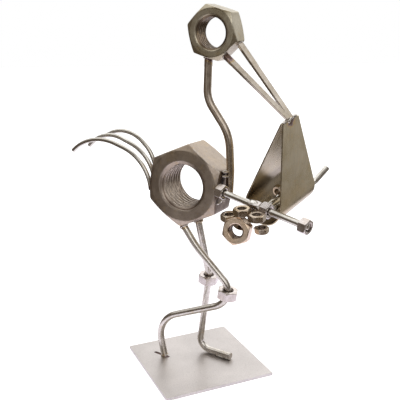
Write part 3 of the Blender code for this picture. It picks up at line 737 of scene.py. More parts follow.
class Stork:
    """The places that the pieces share, worked out from the settings."""

    def __init__(self, settings):
        nuts = settings.nuts
        self.settings = settings
        self.rods = settings.rods
        self.tones = settings.finishes
        self.ground = settings.plate.thickness
        self.body_nut = Nut(*nuts.body)
        self.head_nut = Nut(*nuts.head)
        self.body_flat = self.body_nut.flats / 2
        self.body_corner = self.body_nut.flats / math.sqrt(3)
        self.body = np.array((-nuts.body_back, 0.0, self.ground + nuts.body_rise))
        self.head = self.body + np.array((nuts.head_forward, 0.0, nuts.head_rise))
        self.body_roll = math.degrees(nuts.body_roll)
        self.body_tip = math.degrees(nuts.body_tip)
        self.head_roll = math.degrees(nuts.head_roll)
        self.seam = self.body + np.array((settings.sling.forward, 0.0, settings.sling.rise))
        self.sling_axes = self.sling_frame()
        swing = math.degrees(settings.sling.swing)
        self.hang = self.sling_axes @ side(swing - 90)
        self.bottom = self.seam + self.sling_axes @ side(swing - 90, settings.sling.drop)
        self.baby = self.baby_places()

    def on_body(self, degrees, radius, across):
        """The point at a side angle and radius from the body nut's axis."""
        return self.body + tipped(self.body_tip) @ (side(degrees, radius) + (0.0, across, 0.0))

    def on_head(self, degrees, radius, across):
        """The point at a side angle and radius from the head nut's axis."""
        return self.head + side(degrees, radius) + (0.0, across, 0.0)

    def sling_frame(self):
        """The sling's axes as columns: across its loop, along its width to the far side, and up."""
        turn, tip = self.settings.sling.turn, self.settings.sling.tip
        along = np.array((math.sin(turn) * math.cos(tip), math.cos(turn) * math.cos(tip), math.sin(tip)))
        across = unit(np.array((1.0, 0.0, 0.0)) - along * along[0])
        return np.stack((across, along, np.cross(across, along)), axis=1)

    def baby_places(self):
        """The middles of the baby's nuts.

        The left hand lies on the body nut's near front corner, level with the torso.
        """
        torso = self.bottom + self.sling_axes @ np.array(TORSO_PLACE)
        arris = self.on_body(self.body_roll, self.body_flat, -self.body_nut.height / 2)
        forward, across = LEFT_HAND_PLACE
        left = np.array((arris[0] + forward, arris[1] + across, torso[2] + LEFT_HAND_RISE))
        right = torso + np.array(RIGHT_HAND_PLACE)
        shoulder = left + (right - left) * SHOULDER_AT
        face = torso + np.array(FACE_PLACE)
        curls = [face + np.array(offset) for offset in (*CURL_PLACES, LAST_CURL_PLACE)]
        foot = self.bottom + self.sling_axes @ np.array(FOOT_PLACE)
        return Baby(left, right, shoulder, torso, face, face + np.array(NECK_NUT_PLACE), curls, foot)

    def body_welds(self):
        """Where rods are welded to the body nut, and how far each one's heat reached."""
        legs = [(path[0], HIP_HEAT) for path, _ in (self.right_leg(), self.left_leg())]
        tails = [(self.tail(name)[-1], TAIL_HEAT) for name in TAIL_WIRES]
        return legs + tails + [(self.neck()[-1], NECK_HEAT), (self.baby.left, HAND_HEAT)]

    def head_welds(self):
        """Where the neck and the beak are welded to the head nut, and how far each one's heat reached."""
        return [(self.neck()[0], NECK_HEAT), *zip(self.beak_roots(), BEAK_HEATS)]

    def leg_welds(self):
        """Where the legs are welded on at the body nut and at the plate, and how far the heat reached."""
        near, far = self.right_leg()[0], self.left_leg()[0]
        return [(near[0], HIP_HEAT), (near[-1], FOOT_HEAT), (far[0], HIP_HEAT)]

    def beak_roots(self):
        """Where the lower and the upper bar of the beak meet the head nut."""
        radius = self.head_nut.flats / math.sqrt(3)
        roots = []
        for share, across, _ in (BEAK_LOWER, BEAK_UPPER):
            low = self.on_head(self.head_roll - 90, radius, across)
            high = self.on_head(self.head_roll - 30, radius, across)
            roots.append(low + (high - low) * share)
        return roots

    def right_leg(self):
        """The near leg's line and the height at which the knee nut sits on it."""
        hip = self.on_body(self.body_roll - 90, self.body_corner, RIGHT_HIP_SIDE)
        hip = hip + (self.rods.leg / 3, 0, 0)
        foot = np.array((*RIGHT_FOOT, self.ground + AIR))
        corners = [hip]
        for forward, share, _ in RIGHT_BENDS:
            across = foot[1] + (hip[1] - foot[1]) * min(1.0, share / RIGHT_KNEE)
            corners.append(np.array((forward, across, foot[2] + share * (hip[2] - foot[2]))))
        corners.append(foot)
        corners[0] = beyond(hip, corners[1], self.rods.leg / 3)
        path = bent(corners, [radius for _, _, radius in RIGHT_BENDS])
        return path, foot[2] + RIGHT_KNEE * (hip[2] - foot[2])

    def left_leg(self):
        """The far leg's line and the height at which the knee nut sits on it."""
        hip = self.on_body(self.body_roll - 90, self.body_corner, LEFT_HIP_SIDE)
        hip = hip + (LEFT_HIP_FORWARD, 0, 0)
        low = self.ground + AIR + self.rods.leg / 2
        knee = np.array((*LEFT_KNEE_AT, low + LEFT_KNEE * (hip[2] - low)))
        heel, toe = np.array((*LEFT_HEEL, low)), np.array((*LEFT_TOE, low))
        corners = [beyond(hip, knee, self.rods.leg / 2), knee, heel, toe]
        return bent(corners, [KNEE_BEND, HEEL_BEND]), knee[2] - LEFT_NUT_DROP

    def neck(self):
        """The neck's line, from the head nut's bottom flat past the body nut's front corner."""
        rod = self.rods.neck
        corner = self.on_body(self.body_roll + 30, self.body_corner, NECK_SIDE)
        flat_foot = self.on_body(self.body_roll, self.body_flat, NECK_SIDE)
        top = self.on_head(self.head_roll - 120, self.head_nut.flats / 2, NECK_SIDE)
        drop = top[2] - corner[2]
        beside = corner + (rod / 2 + AIR, 0, 0)
        (high_sway, high_share), (low_sway, low_share) = NECK_SWAYS
        corners = [
            top,
            top + (high_sway, 0, -high_share * drop),
            beside + (low_sway, 0, low_share * drop),
            beside,
            flat_foot + (rod / 2 + NECK_GAP, 0, -NECK_FOOT),
        ]
        corners[0] = beyond(top, corners[1], AIR)
        return bent(corners, NECK_BENDS)

    def tail(self, name):
        """One tail wire's line."""
        across, tip, crest, shoulder, first, second = TAIL_WIRES[name]
        low = self.on_body(self.body_roll - 150, self.body_corner, across)
        high = self.on_body(self.body_roll + 150, self.body_corner, across)
        foot = low + (high - low) * TAIL_FOOT + side(self.body_roll + 180, self.rods.tail / 2 + AIR)
        foot[1] = across
        corners = [self.body + (forward, across, rise) for forward, rise in (tip, crest, shoulder)]
        return bent(corners + [foot], [first, second])


def nut_on_rod(path, height, nut, roll):
    """The centre and axes of a nut threaded on a falling rod at a height, centred on the rod inside it."""
    at = np.interp(-height, -path[:, 2], run_along(path))
    above, below = point_at(path, at - nut.height / 2), point_at(path, at + nut.height / 2)
    centre = (above + below) / 4 + point_at(path, at) / 2
    return centre, axis_frame(above - below, roll)


def plate_shell(plate, foot):
    """A square sheet with a slot, its edges rounded.

    The slot's outline is a flattened superellipse, the cosine and sine of an angle raised to a fourth,
    and the outer edge is where a ray at the same angle from the slot's middle leaves the square. The
    slot's walls are painted black as shade.
    """
    turn = np.array(Matrix.Rotation(math.radians(PLATE_TURN), 3, "Z"))
    slot_turn = np.array(Matrix.Rotation(math.radians(SLOT_TURN), 3, "Z"))
    middle = np.array((foot[0], foot[1], 0.0)) + slot_turn @ np.array((-SLOT_BACK, 0.0, 0.0))
    start = turn.T @ middle
    half = plate.side / 2
    corner_turns = np.arctan2(
        np.array((half, half, -half, -half)) - start[1], np.array((half, -half, -half, half)) - start[0]
    )
    near = (corner_turns[:, None] + np.array((-0.012, -0.004, 0, 0.004, 0.012))).ravel() % math.tau
    turns = np.unique(np.concatenate((np.linspace(0, math.tau, PLATE_COLUMNS, endpoint=False), near)))
    ray = np.stack((np.cos(turns), np.sin(turns)), axis=-1)
    slim = np.where(np.abs(ray) < 1e-9, 1e-9, ray)
    room = (np.sign(slim) * half - start[:2]) / slim
    outer = start[:2] + ray * room.min(axis=-1, keepdims=True)
    bend = turns + math.radians(PLATE_TURN - SLOT_TURN)
    size = np.array((plate.slot_length / 2, plate.slot_width / 2))
    wave = np.stack((np.cos(bend), np.sin(bend)), axis=-1)
    slot = np.sign(wave) * np.abs(wave) ** SLOT_POWER * size
    outer = np.column_stack((outer, np.zeros(len(turns)))) @ turn.T
    inner = middle + np.column_stack((slot, np.zeros(len(turns)))) @ slot_turn.T
    top = np.array((0.0, 0.0, plate.thickness))
    section = [inner + top, outer + top, outer, inner]
    rows, wear = rounded(np.array([section[-1]] + section + [section[0]]), SHEET_EDGE)
    # Painted shade: the slot's walls get a wear of -1, which paints them black
    wall = len(wear) // 8 + 1
    wear[:wall] = -1.0
    wear[-wall:] = -1.0
    return shell(rows, wrap_rows=True, wear=wear[:, None])


def sling_line(sling):
    """The loop's points in its own plane, its outward directions and the length run to each.

    It runs from the seam straight to the rolled bottom, round it on an arc, and straight back.
    """
    swing = sling.swing
    hang = np.array((math.sin(swing), -math.cos(swing)))
    out = np.array((-hang[1], hang[0]))
    lip = (sling.sheet + AIR) / 2
    reach = math.hypot(sling.drop, lip)
    lean = math.asin(sling.roll / reach) - math.atan2(lip, sling.drop)
    turn = np.linspace(-lean, math.pi + lean, ROLL_ROWS)[:, None]
    arc = hang * sling.drop + (out * np.cos(turn) + hang * np.sin(turn)) * sling.roll
    fall = np.linspace(0, 1, SLING_ROWS, endpoint=False)[:, None]
    near = out * lip + fall * (arc[0] - out * lip)
    back = arc[-1] + (1 - fall[::-1]) * (-out * lip - arc[-1])
    line = np.concatenate((near, arc, back))
    step = unit(np.gradient(line, axis=0))
    return line, np.stack((-step[:, 1], step[:, 0]), axis=-1), run_along(line)


def sling_shell(stork):
    """A strip of sheet bent into a teardrop, narrow at its seam and wide at its bottom.

    Its width grows in proportion to the length run from the seam until the full width is reached. The
    far edge stops spreading where the roll begins. Its section is a flat rectangle with rounded edges. The
    wear inside its lower half falls to minus the sling's shade, which paints that inside dark as shade.
    """
    sling = stork.settings.sling
    line, out, run = sling_line(sling)
    down = 1 - np.abs(2 * run / run[-1] - 1)
    share = np.minimum(down / sling.flare, 1.0)
    half = (sling.top_width + (sling.low_width - sling.top_width) * share) / 2
    near, far = -half, np.minimum(half, half[SLING_ROWS])
    thick = sling.sheet / 2
    corners = []
    for edge, deep in ((near, 1), (far, 1), (far, -1), (near, -1)):
        flat = line + out * deep * thick
        local = np.stack((flat[:, 0], edge, flat[:, 1]), axis=-1)
        corners.append(stork.seam + local @ stork.sling_axes.T)
    rows, wear = rounded(np.array([corners[-1]] + corners + [corners[0]]), SHEET_EDGE)
    # Painted shade: the inside of the lower half is darkened
    shaded = np.clip((down - SHADE_FROM) / SHADE_FADE, 0, 1)[:, None]
    inside = np.arange(len(wear)) >= len(wear) // 2
    wear = np.where(inside & (shaded > 0), -SLING_SHADE * shaded, wear)
    return shell(np.moveaxis(rows, 0, 1), wear=wear)


class Nodes:
    """Makes the nodes of one tree and links them."""

    def __init__(self, tree):
        self.tree = tree

    def node(self, kind, **settings):
        """A new node with its settings."""
        made = self.tree.nodes.new(kind)
        for name, value in settings.items():
            setattr(made, name, value)
        return made

    def put(self, socket, value):
        """Link another node's output to a socket, or set the socket's own value."""
        if isinstance(value, bpy.types.NodeSocket):
            self.tree.links.new(value, socket)
        else:
            socket.default_value = value

    def ranged(self, value, low, high, to_low=0.0, to_high=1.0):
        """A value spread smoothly from one range to another, and kept inside it."""
        made = self.node("ShaderNodeMapRange", interpolation_type="SMOOTHSTEP")
        self.put(made.inputs["Value"], value)
        numbers = {"From Min": low, "From Max": high, "To Min": to_low, "To Max": to_high}
        for name, number in numbers.items():
            made.inputs[name].default_value = number
        return made.outputs["Result"]

    def math(self, operation, first, second):
        """Two values combined."""
        made = self.node("ShaderNodeMath", operation=operation)
        self.put(made.inputs[0], first)
        self.put(made.inputs[1], second)
        return made.outputs["Value"]

    def measured(self, operation, vector, fixed):
        """A vector's distance from a fixed one, or its dot product with it."""
        made = self.node("ShaderNodeVectorMath", operation=operation)
        self.put(made.inputs[0], vector)
        made.inputs[1].default_value = tuple(float(value) for value in fixed)
        return made.outputs["Value"]


class Finish(Nodes):
    """The nodes of one metal. The pattern reads the piece's own coordinates, in metres."""

    def __init__(self, name):
        self.material = bpy.data.materials.new(name)
        self.material.use_nodes = True
        super().__init__(self.material.node_tree)
        self.shader = self.tree.nodes["Principled BSDF"]
        self.place = self.node("ShaderNodeTexCoord").outputs["Object"]

    def stretched(self, scale):
        """The piece's coordinates stretched."""
        mapping = self.node("ShaderNodeMapping", vector_type="POINT")
        self.put(mapping.inputs["Vector"], self.place)
        mapping.inputs["Scale"].default_value = scale
        return mapping.outputs["Vector"]

    def noise(self, scale, detail=3.0, rough=0.55, place=None, warp=0.0):
        """Cloudy noise from 0 to 1, with a number of clouds to the metre."""
        made = self.node("ShaderNodeTexNoise")
        self.put(made.inputs["Vector"], place or self.place)
        made.inputs["Scale"].default_value = scale
        made.inputs["Detail"].default_value = detail
        made.inputs["Roughness"].default_value = rough
        made.inputs["Distortion"].default_value = warp
        return made.outputs["Fac"]

    def mixed(self, share, first, second):
        """Two colours mixed by a share."""
        made = self.node("ShaderNodeMix", data_type="RGBA")
        self.put(made.inputs["Factor"], share)
        for socket, value in ((made.inputs[6], first), (made.inputs[7], second)):
            self.put(socket, value if isinstance(value, bpy.types.NodeSocket) else (*value, 1.0))
        return made.outputs[2]

    def near(self, spots):
        """How close a point lies to any of some spots: 1 at a spot and 0 beyond its reach."""
        found = 0.0
        for spot, reach in spots:
            gap = self.measured("DISTANCE", self.place, spot)
            found = self.math("MAXIMUM", self.ranged(gap, 0.0, reach, 1.0, 0.0), found)
        return found

    def bumped(self, height, deep):
        """Press a height into the surface, up to a depth in metres."""
        made = self.node("ShaderNodeBump")
        made.inputs["Strength"].default_value = 1.0
        made.inputs["Distance"].default_value = deep
        self.put(made.inputs["Height"], height)
        self.put(self.shader.inputs["Normal"], made.outputs["Normal"])


def steel(
    name, tones, kind, gloss, spots=(), stain=60.0, aged=0.12, grain=GRAIN, pitted=0.45, painted_shade=None
):
    """Bare steel under clear lacquer.

    Clouds mix its two tones, and a straw tint lies over some of them. Fine grain, stretched along the
    piece, lightens and darkens it and moves its gloss. Small pits are darker. Both leave out the threads.
    Rounded edges are worn light. Where the wear is negative, in thread grooves, bores, the slot's walls and
    the sling's inside, the steel is painted dark as shade. Beside a weld the steel turns straw, then
    violet, then black. The front shade, if there is any, is a direction and a distance: what lies farther
    along it is painted dark as shade.
    """
    made = Finish(name)
    low, high = (tuple(getattr(tones, f"{kind}_{end}")) for end in ("low", "high"))
    straw, violet, scorch_and_shade = tuple(tones.straw), tuple(tones.violet), tuple(tones.scorch_and_shade)
    wear = made.node("ShaderNodeAttribute", attribute_name="wear").outputs["Fac"]
    skin = made.ranged(wear, -0.10, -0.02)
    cloud = made.noise(stain, 4.0, 0.55, warp=0.3)
    old = made.noise(stain * 0.35, 3.0, 0.5, warp=0.8)
    lines = made.noise(1.0, 3.0, 0.6, place=made.stretched(grain))
    pits = made.noise(PITS, 2.0, 0.5)
    tone = made.mixed(made.ranged(cloud, 0.30, 0.72), low, high)
    tone = made.mixed(made.ranged(old, 0.46, 0.74, 0.0, aged), tone, straw)
    for dark in (made.ranged(lines, 0.30, 0.62, 0.16, 0.0), made.ranged(pits, 0.66, 0.76, 0.0, pitted)):
        tone = made.mixed(made.math("MULTIPLY", skin, dark), tone, scorch_and_shade)
    patches = made.ranged(made.noise(WORN_PATCHES), 0.35, 0.6, 0.25, 0.8)
    bare = tuple(min(1.0, 0.9 * value + 0.25) for value in high)
    tone = made.mixed(made.math("MULTIPLY", made.ranged(wear, 0.0, 0.9), patches), tone, bare)
    # Painted shade: negative wear darkens grooves, bores, the slot's walls and the sling's inside towards
    # the scorch colour
    tone = made.mixed(made.ranged(wear, -0.9, -0.1, 0.9, 0.0), tone, scorch_and_shade)
    if spots:
        ragged = made.ranged(made.noise(HEAT_PATCHES), 0.3, 0.7, -0.2, 0.2)
        heat = made.math("ADD", made.near(spots), ragged)
        for tint, (start, end, most) in (
            (straw, STRAW_HEAT),
            (violet, VIOLET_HEAT),
            (scorch_and_shade, SCORCH_HEAT),
        ):
            tone = made.mixed(made.ranged(heat, start, end, 0.0, most), tone, tint)
    # Painted shade: the body nut's front flat, past a plane, is darkened in patches towards the scorch
    # colour
    if painted_shade:
        direction, start = painted_shade
        along = made.measured("DOT_PRODUCT", made.place, direction)
        past = made.ranged(along, start - 2 * AIR, start - AIR)
        patches = made.ranged(made.noise(SHADE_PATCHES), 0.35, 0.6, 0.55, 0.9)
        tone = made.mixed(made.math("MULTIPLY", past, patches), tone, scorch_and_shade)
    made.put(made.shader.inputs["Base Color"], tone)
    made.shader.inputs["Metallic"].default_value = 1.0
    smeared, fine = made.ranged(cloud, 0.3, 0.7, *gloss), made.ranged(lines, 0.3, 0.7, 0.03, -0.03)
    made.put(made.shader.inputs["Roughness"], made.math("ADD", smeared, fine))
    relief = made.math("SUBTRACT", lines, made.ranged(pits, 0.62, 0.76))
    made.bumped(made.math("MULTIPLY", skin, relief), PRESSED)
    return made.material


def drawn_steel(name, tones, kind="rod", spots=(), gloss=(0.13, 0.22)):
    """The smooth steel of the rods and bars, scorched at their welds."""
    return steel(name, tones, kind, gloss, spots, stain=90.0, pitted=0.12)


def zinc_steel(name, tones):
    """The glossy steel of the small nuts."""
    return steel(name, tones, "zinc", (0.16, 0.28), stain=110.0, aged=0.2, pitted=0.12)


class STORK_OT_plate(bpy.types.Operator):
    """Make the ground plate."""

    bl_idname = "stork.plate"
    bl_label = "Plate"

    def execute(self, context):
        settings = context.scene.stork
        metal = steel(
            "satin_sheet", settings.finishes, "plate", (0.40, 0.47), stain=28.0, aged=0.05, grain=BRUSHED
        )
        show("plate", plate_shell(settings.plate, RIGHT_FOOT), metal, ["base_plate"])
        return {"FINISHED"}


class STORK_OT_big_nuts(bpy.types.Operator):
    """Make the body nut and the head nut."""

    bl_idname = "stork.big_nuts"
    bl_label = "Body and head nuts"

    def execute(self, context):
        stork = Stork(context.scene.stork)
        axes = side_frame(stork.body_roll, stork.body_tip)
        front = axes[:, 0]
        # Painted shade: the body nut's front flat is painted dark as shade
        painted_shade = (front, front @ stork.body + stork.body_flat)
        metal = steel(
            "body_steel", stork.tones, "body", (0.32, 0.46), stork.body_welds(), aged=0.25, painted_shade=painted_shade
        )
        form = nut_shell(stork.body_nut, stork.body, axes, painted_shade=0.0)
        show("body", form, metal, ["body_nut"])
        metal = steel("head_steel", stork.tones, "head", (0.26, 0.40), stork.head_welds(), aged=0.25)
        form = nut_shell(stork.head_nut, stork.head, side_frame(stork.head_roll), painted_shade=0.72)
        show("head", form, metal, ["head_nut"])
        return {"FINISHED"}


class STORK_OT_legs(bpy.types.Operator):
    """Make the two legs and their knee nuts."""

    bl_idname = "stork.legs"
    bl_label = "Legs"

    def execute(self, context):
        stork = Stork(context.scene.stork)
        rod = drawn_steel("leg_steel", stork.tones, "leg", stork.leg_welds(), (0.20, 0.30))
        plated = zinc_steel("knee_steel", stork.tones)
        knee = Nut(*stork.settings.nuts.knee)
        for hand, (path, height), roll in (
            ("right", stork.right_leg(), RIGHT_KNEE_ROLL),
            ("left", stork.left_leg(), LEFT_KNEE_ROLL),
        ):
            show(f"leg_{hand}", rod_shell(path, stork.rods.leg), rod, [f"{hand}_leg"])
            form = nut_shell(knee, *nut_on_rod(path, height, knee, roll))
            show(f"knee_{hand}", form, plated, [f"{hand}_knee_nut"])
        return {"FINISHED"}


class STORK_OT_neck(bpy.types.Operator):
    """Make the neck."""

    bl_idname = "stork.neck"
    bl_label = "Neck"

    def execute(self, context):
        stork = Stork(context.scene.stork)
        path = stork.neck()
        ends = ((path[0], NECK_HEAT), (path[-1], NECK_FOOT_HEAT))
        metal = steel(
            "neck_steel", stork.tones, "neck", (0.24, 0.34), ends, stain=90.0, aged=0.4, pitted=0.12
        )
        show("neck", rod_shell(path, stork.rods.neck), metal, ["neck_rod"])
        return {"FINISHED"}


class STORK_OT_tail(bpy.types.Operator):
    """Make the three tail wires."""

    bl_idname = "stork.tail"
    bl_label = "Tail"

    def execute(self, context):
        stork = Stork(context.scene.stork)
        paths = {name: stork.tail(name) for name in TAIL_WIRES}
        spots = [(path[-1], TAIL_HEAT) for path in paths.values()]
        metal = drawn_steel("tail_steel", stork.tones, spots=spots)
        for name, path in paths.items():
            form = rod_shell(path, stork.rods.tail)
            show(name.replace("wire", "feather"), form, metal, [name])
        return {"FINISHED"}


class STORK_OT_beak(bpy.types.Operator):
    """Make the beak's two tapering bars."""

    bl_idname = "stork.beak"
    bl_label = "Beak"

    def execute(self, context):
        stork = Stork(context.scene.stork)
        rods = stork.rods
        roots = stork.beak_roots()
        tips = stork.seam - stork.hang * (stork.settings.sling.sheet / 2 + AIR)
        half = np.linspace(rods.beak_root, rods.beak_tip, BAR_ROWS) / 2
        spots = ((roots[0], BEAK_HEAT), (stork.seam, BEAK_TIP_HEAT))
        metal = drawn_steel("beak_steel", stork.tones, "beak", spots)
        for name, (_, _, hand), root in (
            ("lower", BEAK_LOWER, roots[0]),
            ("upper", BEAK_UPPER, roots[1]),
        ):
            tip = tips + (0.0, hand * (rods.beak_tip / math.sqrt(2) + AIR), 0.0)
            path = np.linspace(beyond(root, tip, BEAK_INTO), tip, BAR_ROWS)
            form = swept(path, half, (0.0, 1.0, 0.0), square_section(), BAR_EDGE)
            show(f"bill_{name}", form, metal, [f"beak_{name}"])
        return {"FINISHED"}


class STORK_OT_sling(bpy.types.Operator):
    """Make the sling of bent sheet."""

    bl_idname = "stork.sling"
    bl_label = "Sling"

    def execute(self, context):
        stork = Stork(context.scene.stork)
        spots = [(stork.seam, SEAM_HEAT)]
        metal = steel("brushed_sheet", stork.tones, "sling", (0.26, 0.32), spots, aged=0.35, grain=BRUSHED)
        show("sling_sheet", sling_shell(stork), metal, ["sling"])
        return {"FINISHED"}


def baby_parts(stork):
    """The baby's nuts and rods: each one's name, solid, metal and shell."""
    nuts, rods, baby, axes = stork.settings.nuts, stork.rods, stork.baby, stork.sling_axes
    torso, curl, hand, foot = Nut(*nuts.torso), Nut(*nuts.curl), Nut(*nuts.hand), Nut(*nuts.foot)
    standing = axis_frame(axes[:, 1], 30.0, axes[:, 0])
    lying = axis_frame(tipped(CURL_TIP) @ (0.0, 0.0, 1.0), 0.0)
    yield "baby_torso", "baby_torso_nut", "plated", nut_shell(torso, baby.torso, standing)
    form = nut_shell(Nut(*nuts.face), baby.face, axis_frame(FACE_AXIS, FACE_ROLL), painted_shade=0.85)
    yield "baby_face", "baby_face_nut", "face", form
    yield "baby_neck", "baby_neck_nut", "curl", nut_shell(curl, baby.neck, axis_frame(NECK_NUT_AXIS, 0.0))
    for number, centre in enumerate(baby.curls, 1):
        kind = curl if number <= len(CURL_PLACES) else Nut(*nuts.last_curl)
        yield f"baby_curl_{number}", f"baby_curl_nut_{number}", "curl", nut_shell(kind, centre, lying)

    arms = axis_frame(baby.right - baby.left, 0.0, (0.0, 1.0, 0.0))
    for name, centre in (("left_hand", baby.left), ("shoulder", baby.shoulder), ("right_hand", baby.right)):
        form = nut_shell(hand, centre, arms, rods.arm + 2 * AIR)
        yield f"baby_{name}", f"baby_{name}_nut", "plated", form
    inner = baby.left + (baby.right - baby.left) * ELBOW_AT
    for name, ends in (("left", (baby.left, inner)), ("right", (baby.shoulder, baby.right))):
        form = rod_shell(np.linspace(*ends, STRAIGHT_ROWS), rods.arm, (0.0, 0.0, 1.0))
        yield f"arm_{name}", f"baby_{name}_arm", "rod", form

    yield "baby_foot", "baby_foot_nut", "curl", nut_shell(foot, baby.foot, standing)
    thigh, shank = (
        baby.torso + axes @ np.array((forward, torso.height / 2, rise))
        for forward, rise in (THIGH_START, SHANK_START)
    )
    end = baby.foot - axes[:, 2] * foot.flats / 2
    form = rod_shell(np.linspace(thigh, end, STRAIGHT_ROWS), rods.thigh, (0.0, 0.0, 1.0))
    yield "leg_short", "baby_short_leg", "rod", form
    sling = stork.settings.sling
    reach = sling.roll - sling.sheet / 2 - AIR - rods.shank / 2
    out = stork.bottom + axes @ (side(SHANK_ANGLE, reach) + (0.0, SHANK_OUT, 0.0))
    path = bent([shank, out, out + np.array(SHANK_END)], [SHANK_BEND])
    yield "leg_long", "baby_long_leg", "rod", rod_shell(path, rods.shank, (1.0, 0.0, 0.0))


class STORK_OT_baby(bpy.types.Operator):
    """Make the baby of nuts and rods in the sling."""

    bl_idname = "stork.baby"
    bl_label = "Baby"

    def execute(self, context):
        stork = Stork(context.scene.stork)
        tones = stork.tones
        metals = {
            "plated": zinc_steel("baby_nut_steel", tones),
            "curl": steel("baby_curl_steel", tones, "curl", (0.14, 0.26), stain=130.0, aged=0.6),
            "face": steel("baby_face_steel", tones, "face", (0.22, 0.32), stain=90.0, aged=0.3),
            "rod": drawn_steel("baby_rod_steel", tones),
        }
        for name, solid, kind, form in baby_parts(stork):
            show(name, form, metals[kind], [solid])
        return {"FINISHED"}


def ring_weld(end, inner, radius, thick, seed):
    """A bead round a rod's end."""
    return bead_shell(ring_path(end, end - inner, radius), thick, end - inner, seed)


def straight_weld(start, end, thick, seed, up=(0.0, 0.0, 1.0), count=16):
    """A straight bead between two points."""
    return bead_shell(np.linspace(start, end, count), thick, up, seed)


def lump(centre, shares, axes, seed):
    """A blob of weld whose radii are shares of a common bead's width."""
    return blob_shell(centre, np.array(shares) * WELD, axes, seed)


def leg_weld_shells(stork):
    """Beads round the legs' tops, round the near foot and along the toe."""
    near, far = stork.right_leg()[0], stork.left_leg()[0]
    radius = stork.rods.leg / 2
    lift = np.array((0.0, 0.0, WELD / 3))
    below = (0.0, radius * 0.8, radius * 0.7)
    shells = []
    for seed, path in enumerate((near, far), 20):
        top = path[0] + unit(path[1] - path[0]) * WELD
        shells.append(ring_weld(top, path[1], radius, 1.2 * WELD, seed))
    shells.append(ring_weld(near[-1] + lift, near[-2] + lift, radius * 0.9, 0.6 * WELD, 22))
    toe, behind = far[-1] - below, beyond(far[-1], far[-2], -TOE_WELD) - below
    return shells + [straight_weld(toe, behind, 0.5 * WELD, 23, count=24)]


def neck_weld_shells(stork):
    """A bead round the neck's top, and three across the gap between the neck and the body nut."""
    path, rod = stork.neck(), stork.rods.neck
    corner = stork.on_body(stork.body_roll + 30, stork.body_corner, NECK_SIDE - rod * 1.3)
    beside = stork.on_body(stork.body_roll + 30, stork.body_corner, NECK_SIDE - rod * 0.35)
    beside = beside + (rod * 0.45, 0.0, -0.3 * WELD)
    drop = np.array((0.0, 0.0, -1.9 * WELD)) * 0.9
    foot = path[-1] + (-rod * 0.4, -rod * 0.5, 0.3 * WELD)
    low = stork.on_body(stork.body_roll, stork.body_flat, -stork.body_nut.height / 2 + WELD)
    low = low + (0.0, 0.0, foot[2] - stork.body[2])
    return [
        ring_weld(path[0] - (0.0, 0.0, 0.4 * WELD), path[1], rod / 2, 0.9 * WELD, 30),
        straight_weld(corner, beside, 1.1 * WELD, 31),
        straight_weld(corner + drop, beside + drop, 0.8 * WELD, 32),
        straight_weld(low, foot, 0.9 * WELD, 33),
    ]


def head_weld_shells(stork):
    """Beads round the beak's roots and along the sling's seam."""
    lower, upper = stork.beak_roots()
    root, tip = stork.rods.beak_root * 0.55, stork.rods.beak_tip
    reach = stork.sling_axes[:, 1] * (stork.settings.sling.top_width * 0.46)
    top = stork.seam - stork.hang * SEAM_WELD_RISE
    tips = np.array((0.0, tip, 0.4 * tip))
    level = np.eye(3)
    return [
        ring_weld(lower, stork.seam, root, 0.5 * WELD, 40),
        ring_weld(upper, stork.seam, root, 0.7 * WELD, 41),
        straight_weld(top - reach, top + reach, 1.2 * WELD, 42, (1.0, 0.0, 0.0), 40),
        lump(stork.seam - tips * 0.7, (0.7, 1.2, 0.8), level, 43),
        lump(stork.seam + tips * 0.9, (0.8, 1.1, 0.8), level, 44),
        lump(upper + (0.0, -0.8 * WELD, 0.5 * WELD), (0.6, 0.5, 0.8), level, 45),
    ]


def tail_weld_shells(stork):
    """A bead along each tail wire's foot, between the wire and the nut's flat."""
    inward = side(stork.body_roll, stork.rods.tail * 0.45)
    shells = []
    for seed, name in enumerate(TAIL_WIRES, 50):
        foot, before = stork.tail(name)[[-1, -2]]
        end = foot + unit(before - foot) * TAIL_WELD
        shells.append(straight_weld(foot + inward, end + inward, 1.1 * WELD, seed, (0.0, 1.0, 0.0), 24))
    return shells


def baby_weld_shells(stork):
    """Beads and blobs that hold the baby together."""
    baby, axes, nuts = stork.baby, stork.sling_axes, stork.settings.nuts
    line = unit(baby.right - baby.left)
    top = baby.torso + axes[:, 2] * nuts.torso[0] / 2
    below = baby.left + np.array((-0.7, 0.2, -2.6)) * WELD
    nape = baby.shoulder + np.array((-0.2, -0.2, 0.9)) * WELD
    crown = baby.shoulder + np.array((0.4, 1.2, 1.4)) * WELD
    shells = [
        straight_weld(below, below + np.array((1.8, -0.2, -0.6)) * WELD, WELD, 60, count=12),
        lump(nape, (1.6, 1.3, 1.3), axes, 61),
        lump(crown, (1.3, 1.3, 1.0), axes, 62),
        lump(top - axes[:, 0] * WELD, (1.9, 1.3, 0.4), axes, 63),
        lump(baby.right + line * nuts.hand[1] * 0.3, (1.2, 1.1, 0.6), axis_frame(line, 0.0), 68),
    ]
    for seed, curl in enumerate(baby.curls, 64):
        middle = baby.face + (curl - baby.face) * 0.66 + (0.0, nuts.face[1] / 2, 0.0)
        shells.append(lump(middle, (0.7, 0.8, 0.7), axes, seed))
    return shells


class STORK_OT_welds(bpy.types.Operator):
    """Make the beads of weld."""

    bl_idname = "stork.welds"
    bl_label = "Welds"

    def execute(self, context):
        stork = Stork(context.scene.stork)
        metal = steel("weld_steel", stork.tones, "weld", (0.16, 0.34), stain=300.0, aged=0.5)
        for name, shells in (
            ("weld_legs", leg_weld_shells(stork)),
            ("weld_neck", neck_weld_shells(stork)),
            ("weld_beak", head_weld_shells(stork)),
            ("weld_tail", tail_weld_shells(stork)),
            ("weld_baby", baby_weld_shells(stork)),
        ):
            show(name, joined(shells), metal)
        return {"FINISHED"}


class STORK_OT_stage(bpy.types.Operator):
    """Make the floor, the light and the camera."""

    bl_idname = "stork.stage"
    bl_label = "Stage"

    def execute(self, context):
        scene = context.scene
        scene.view_settings.view_transform = "Standard"
        floor()
        sky(scene)
        camera(scene, scene.stork.stage)
        return {"FINISHED"}


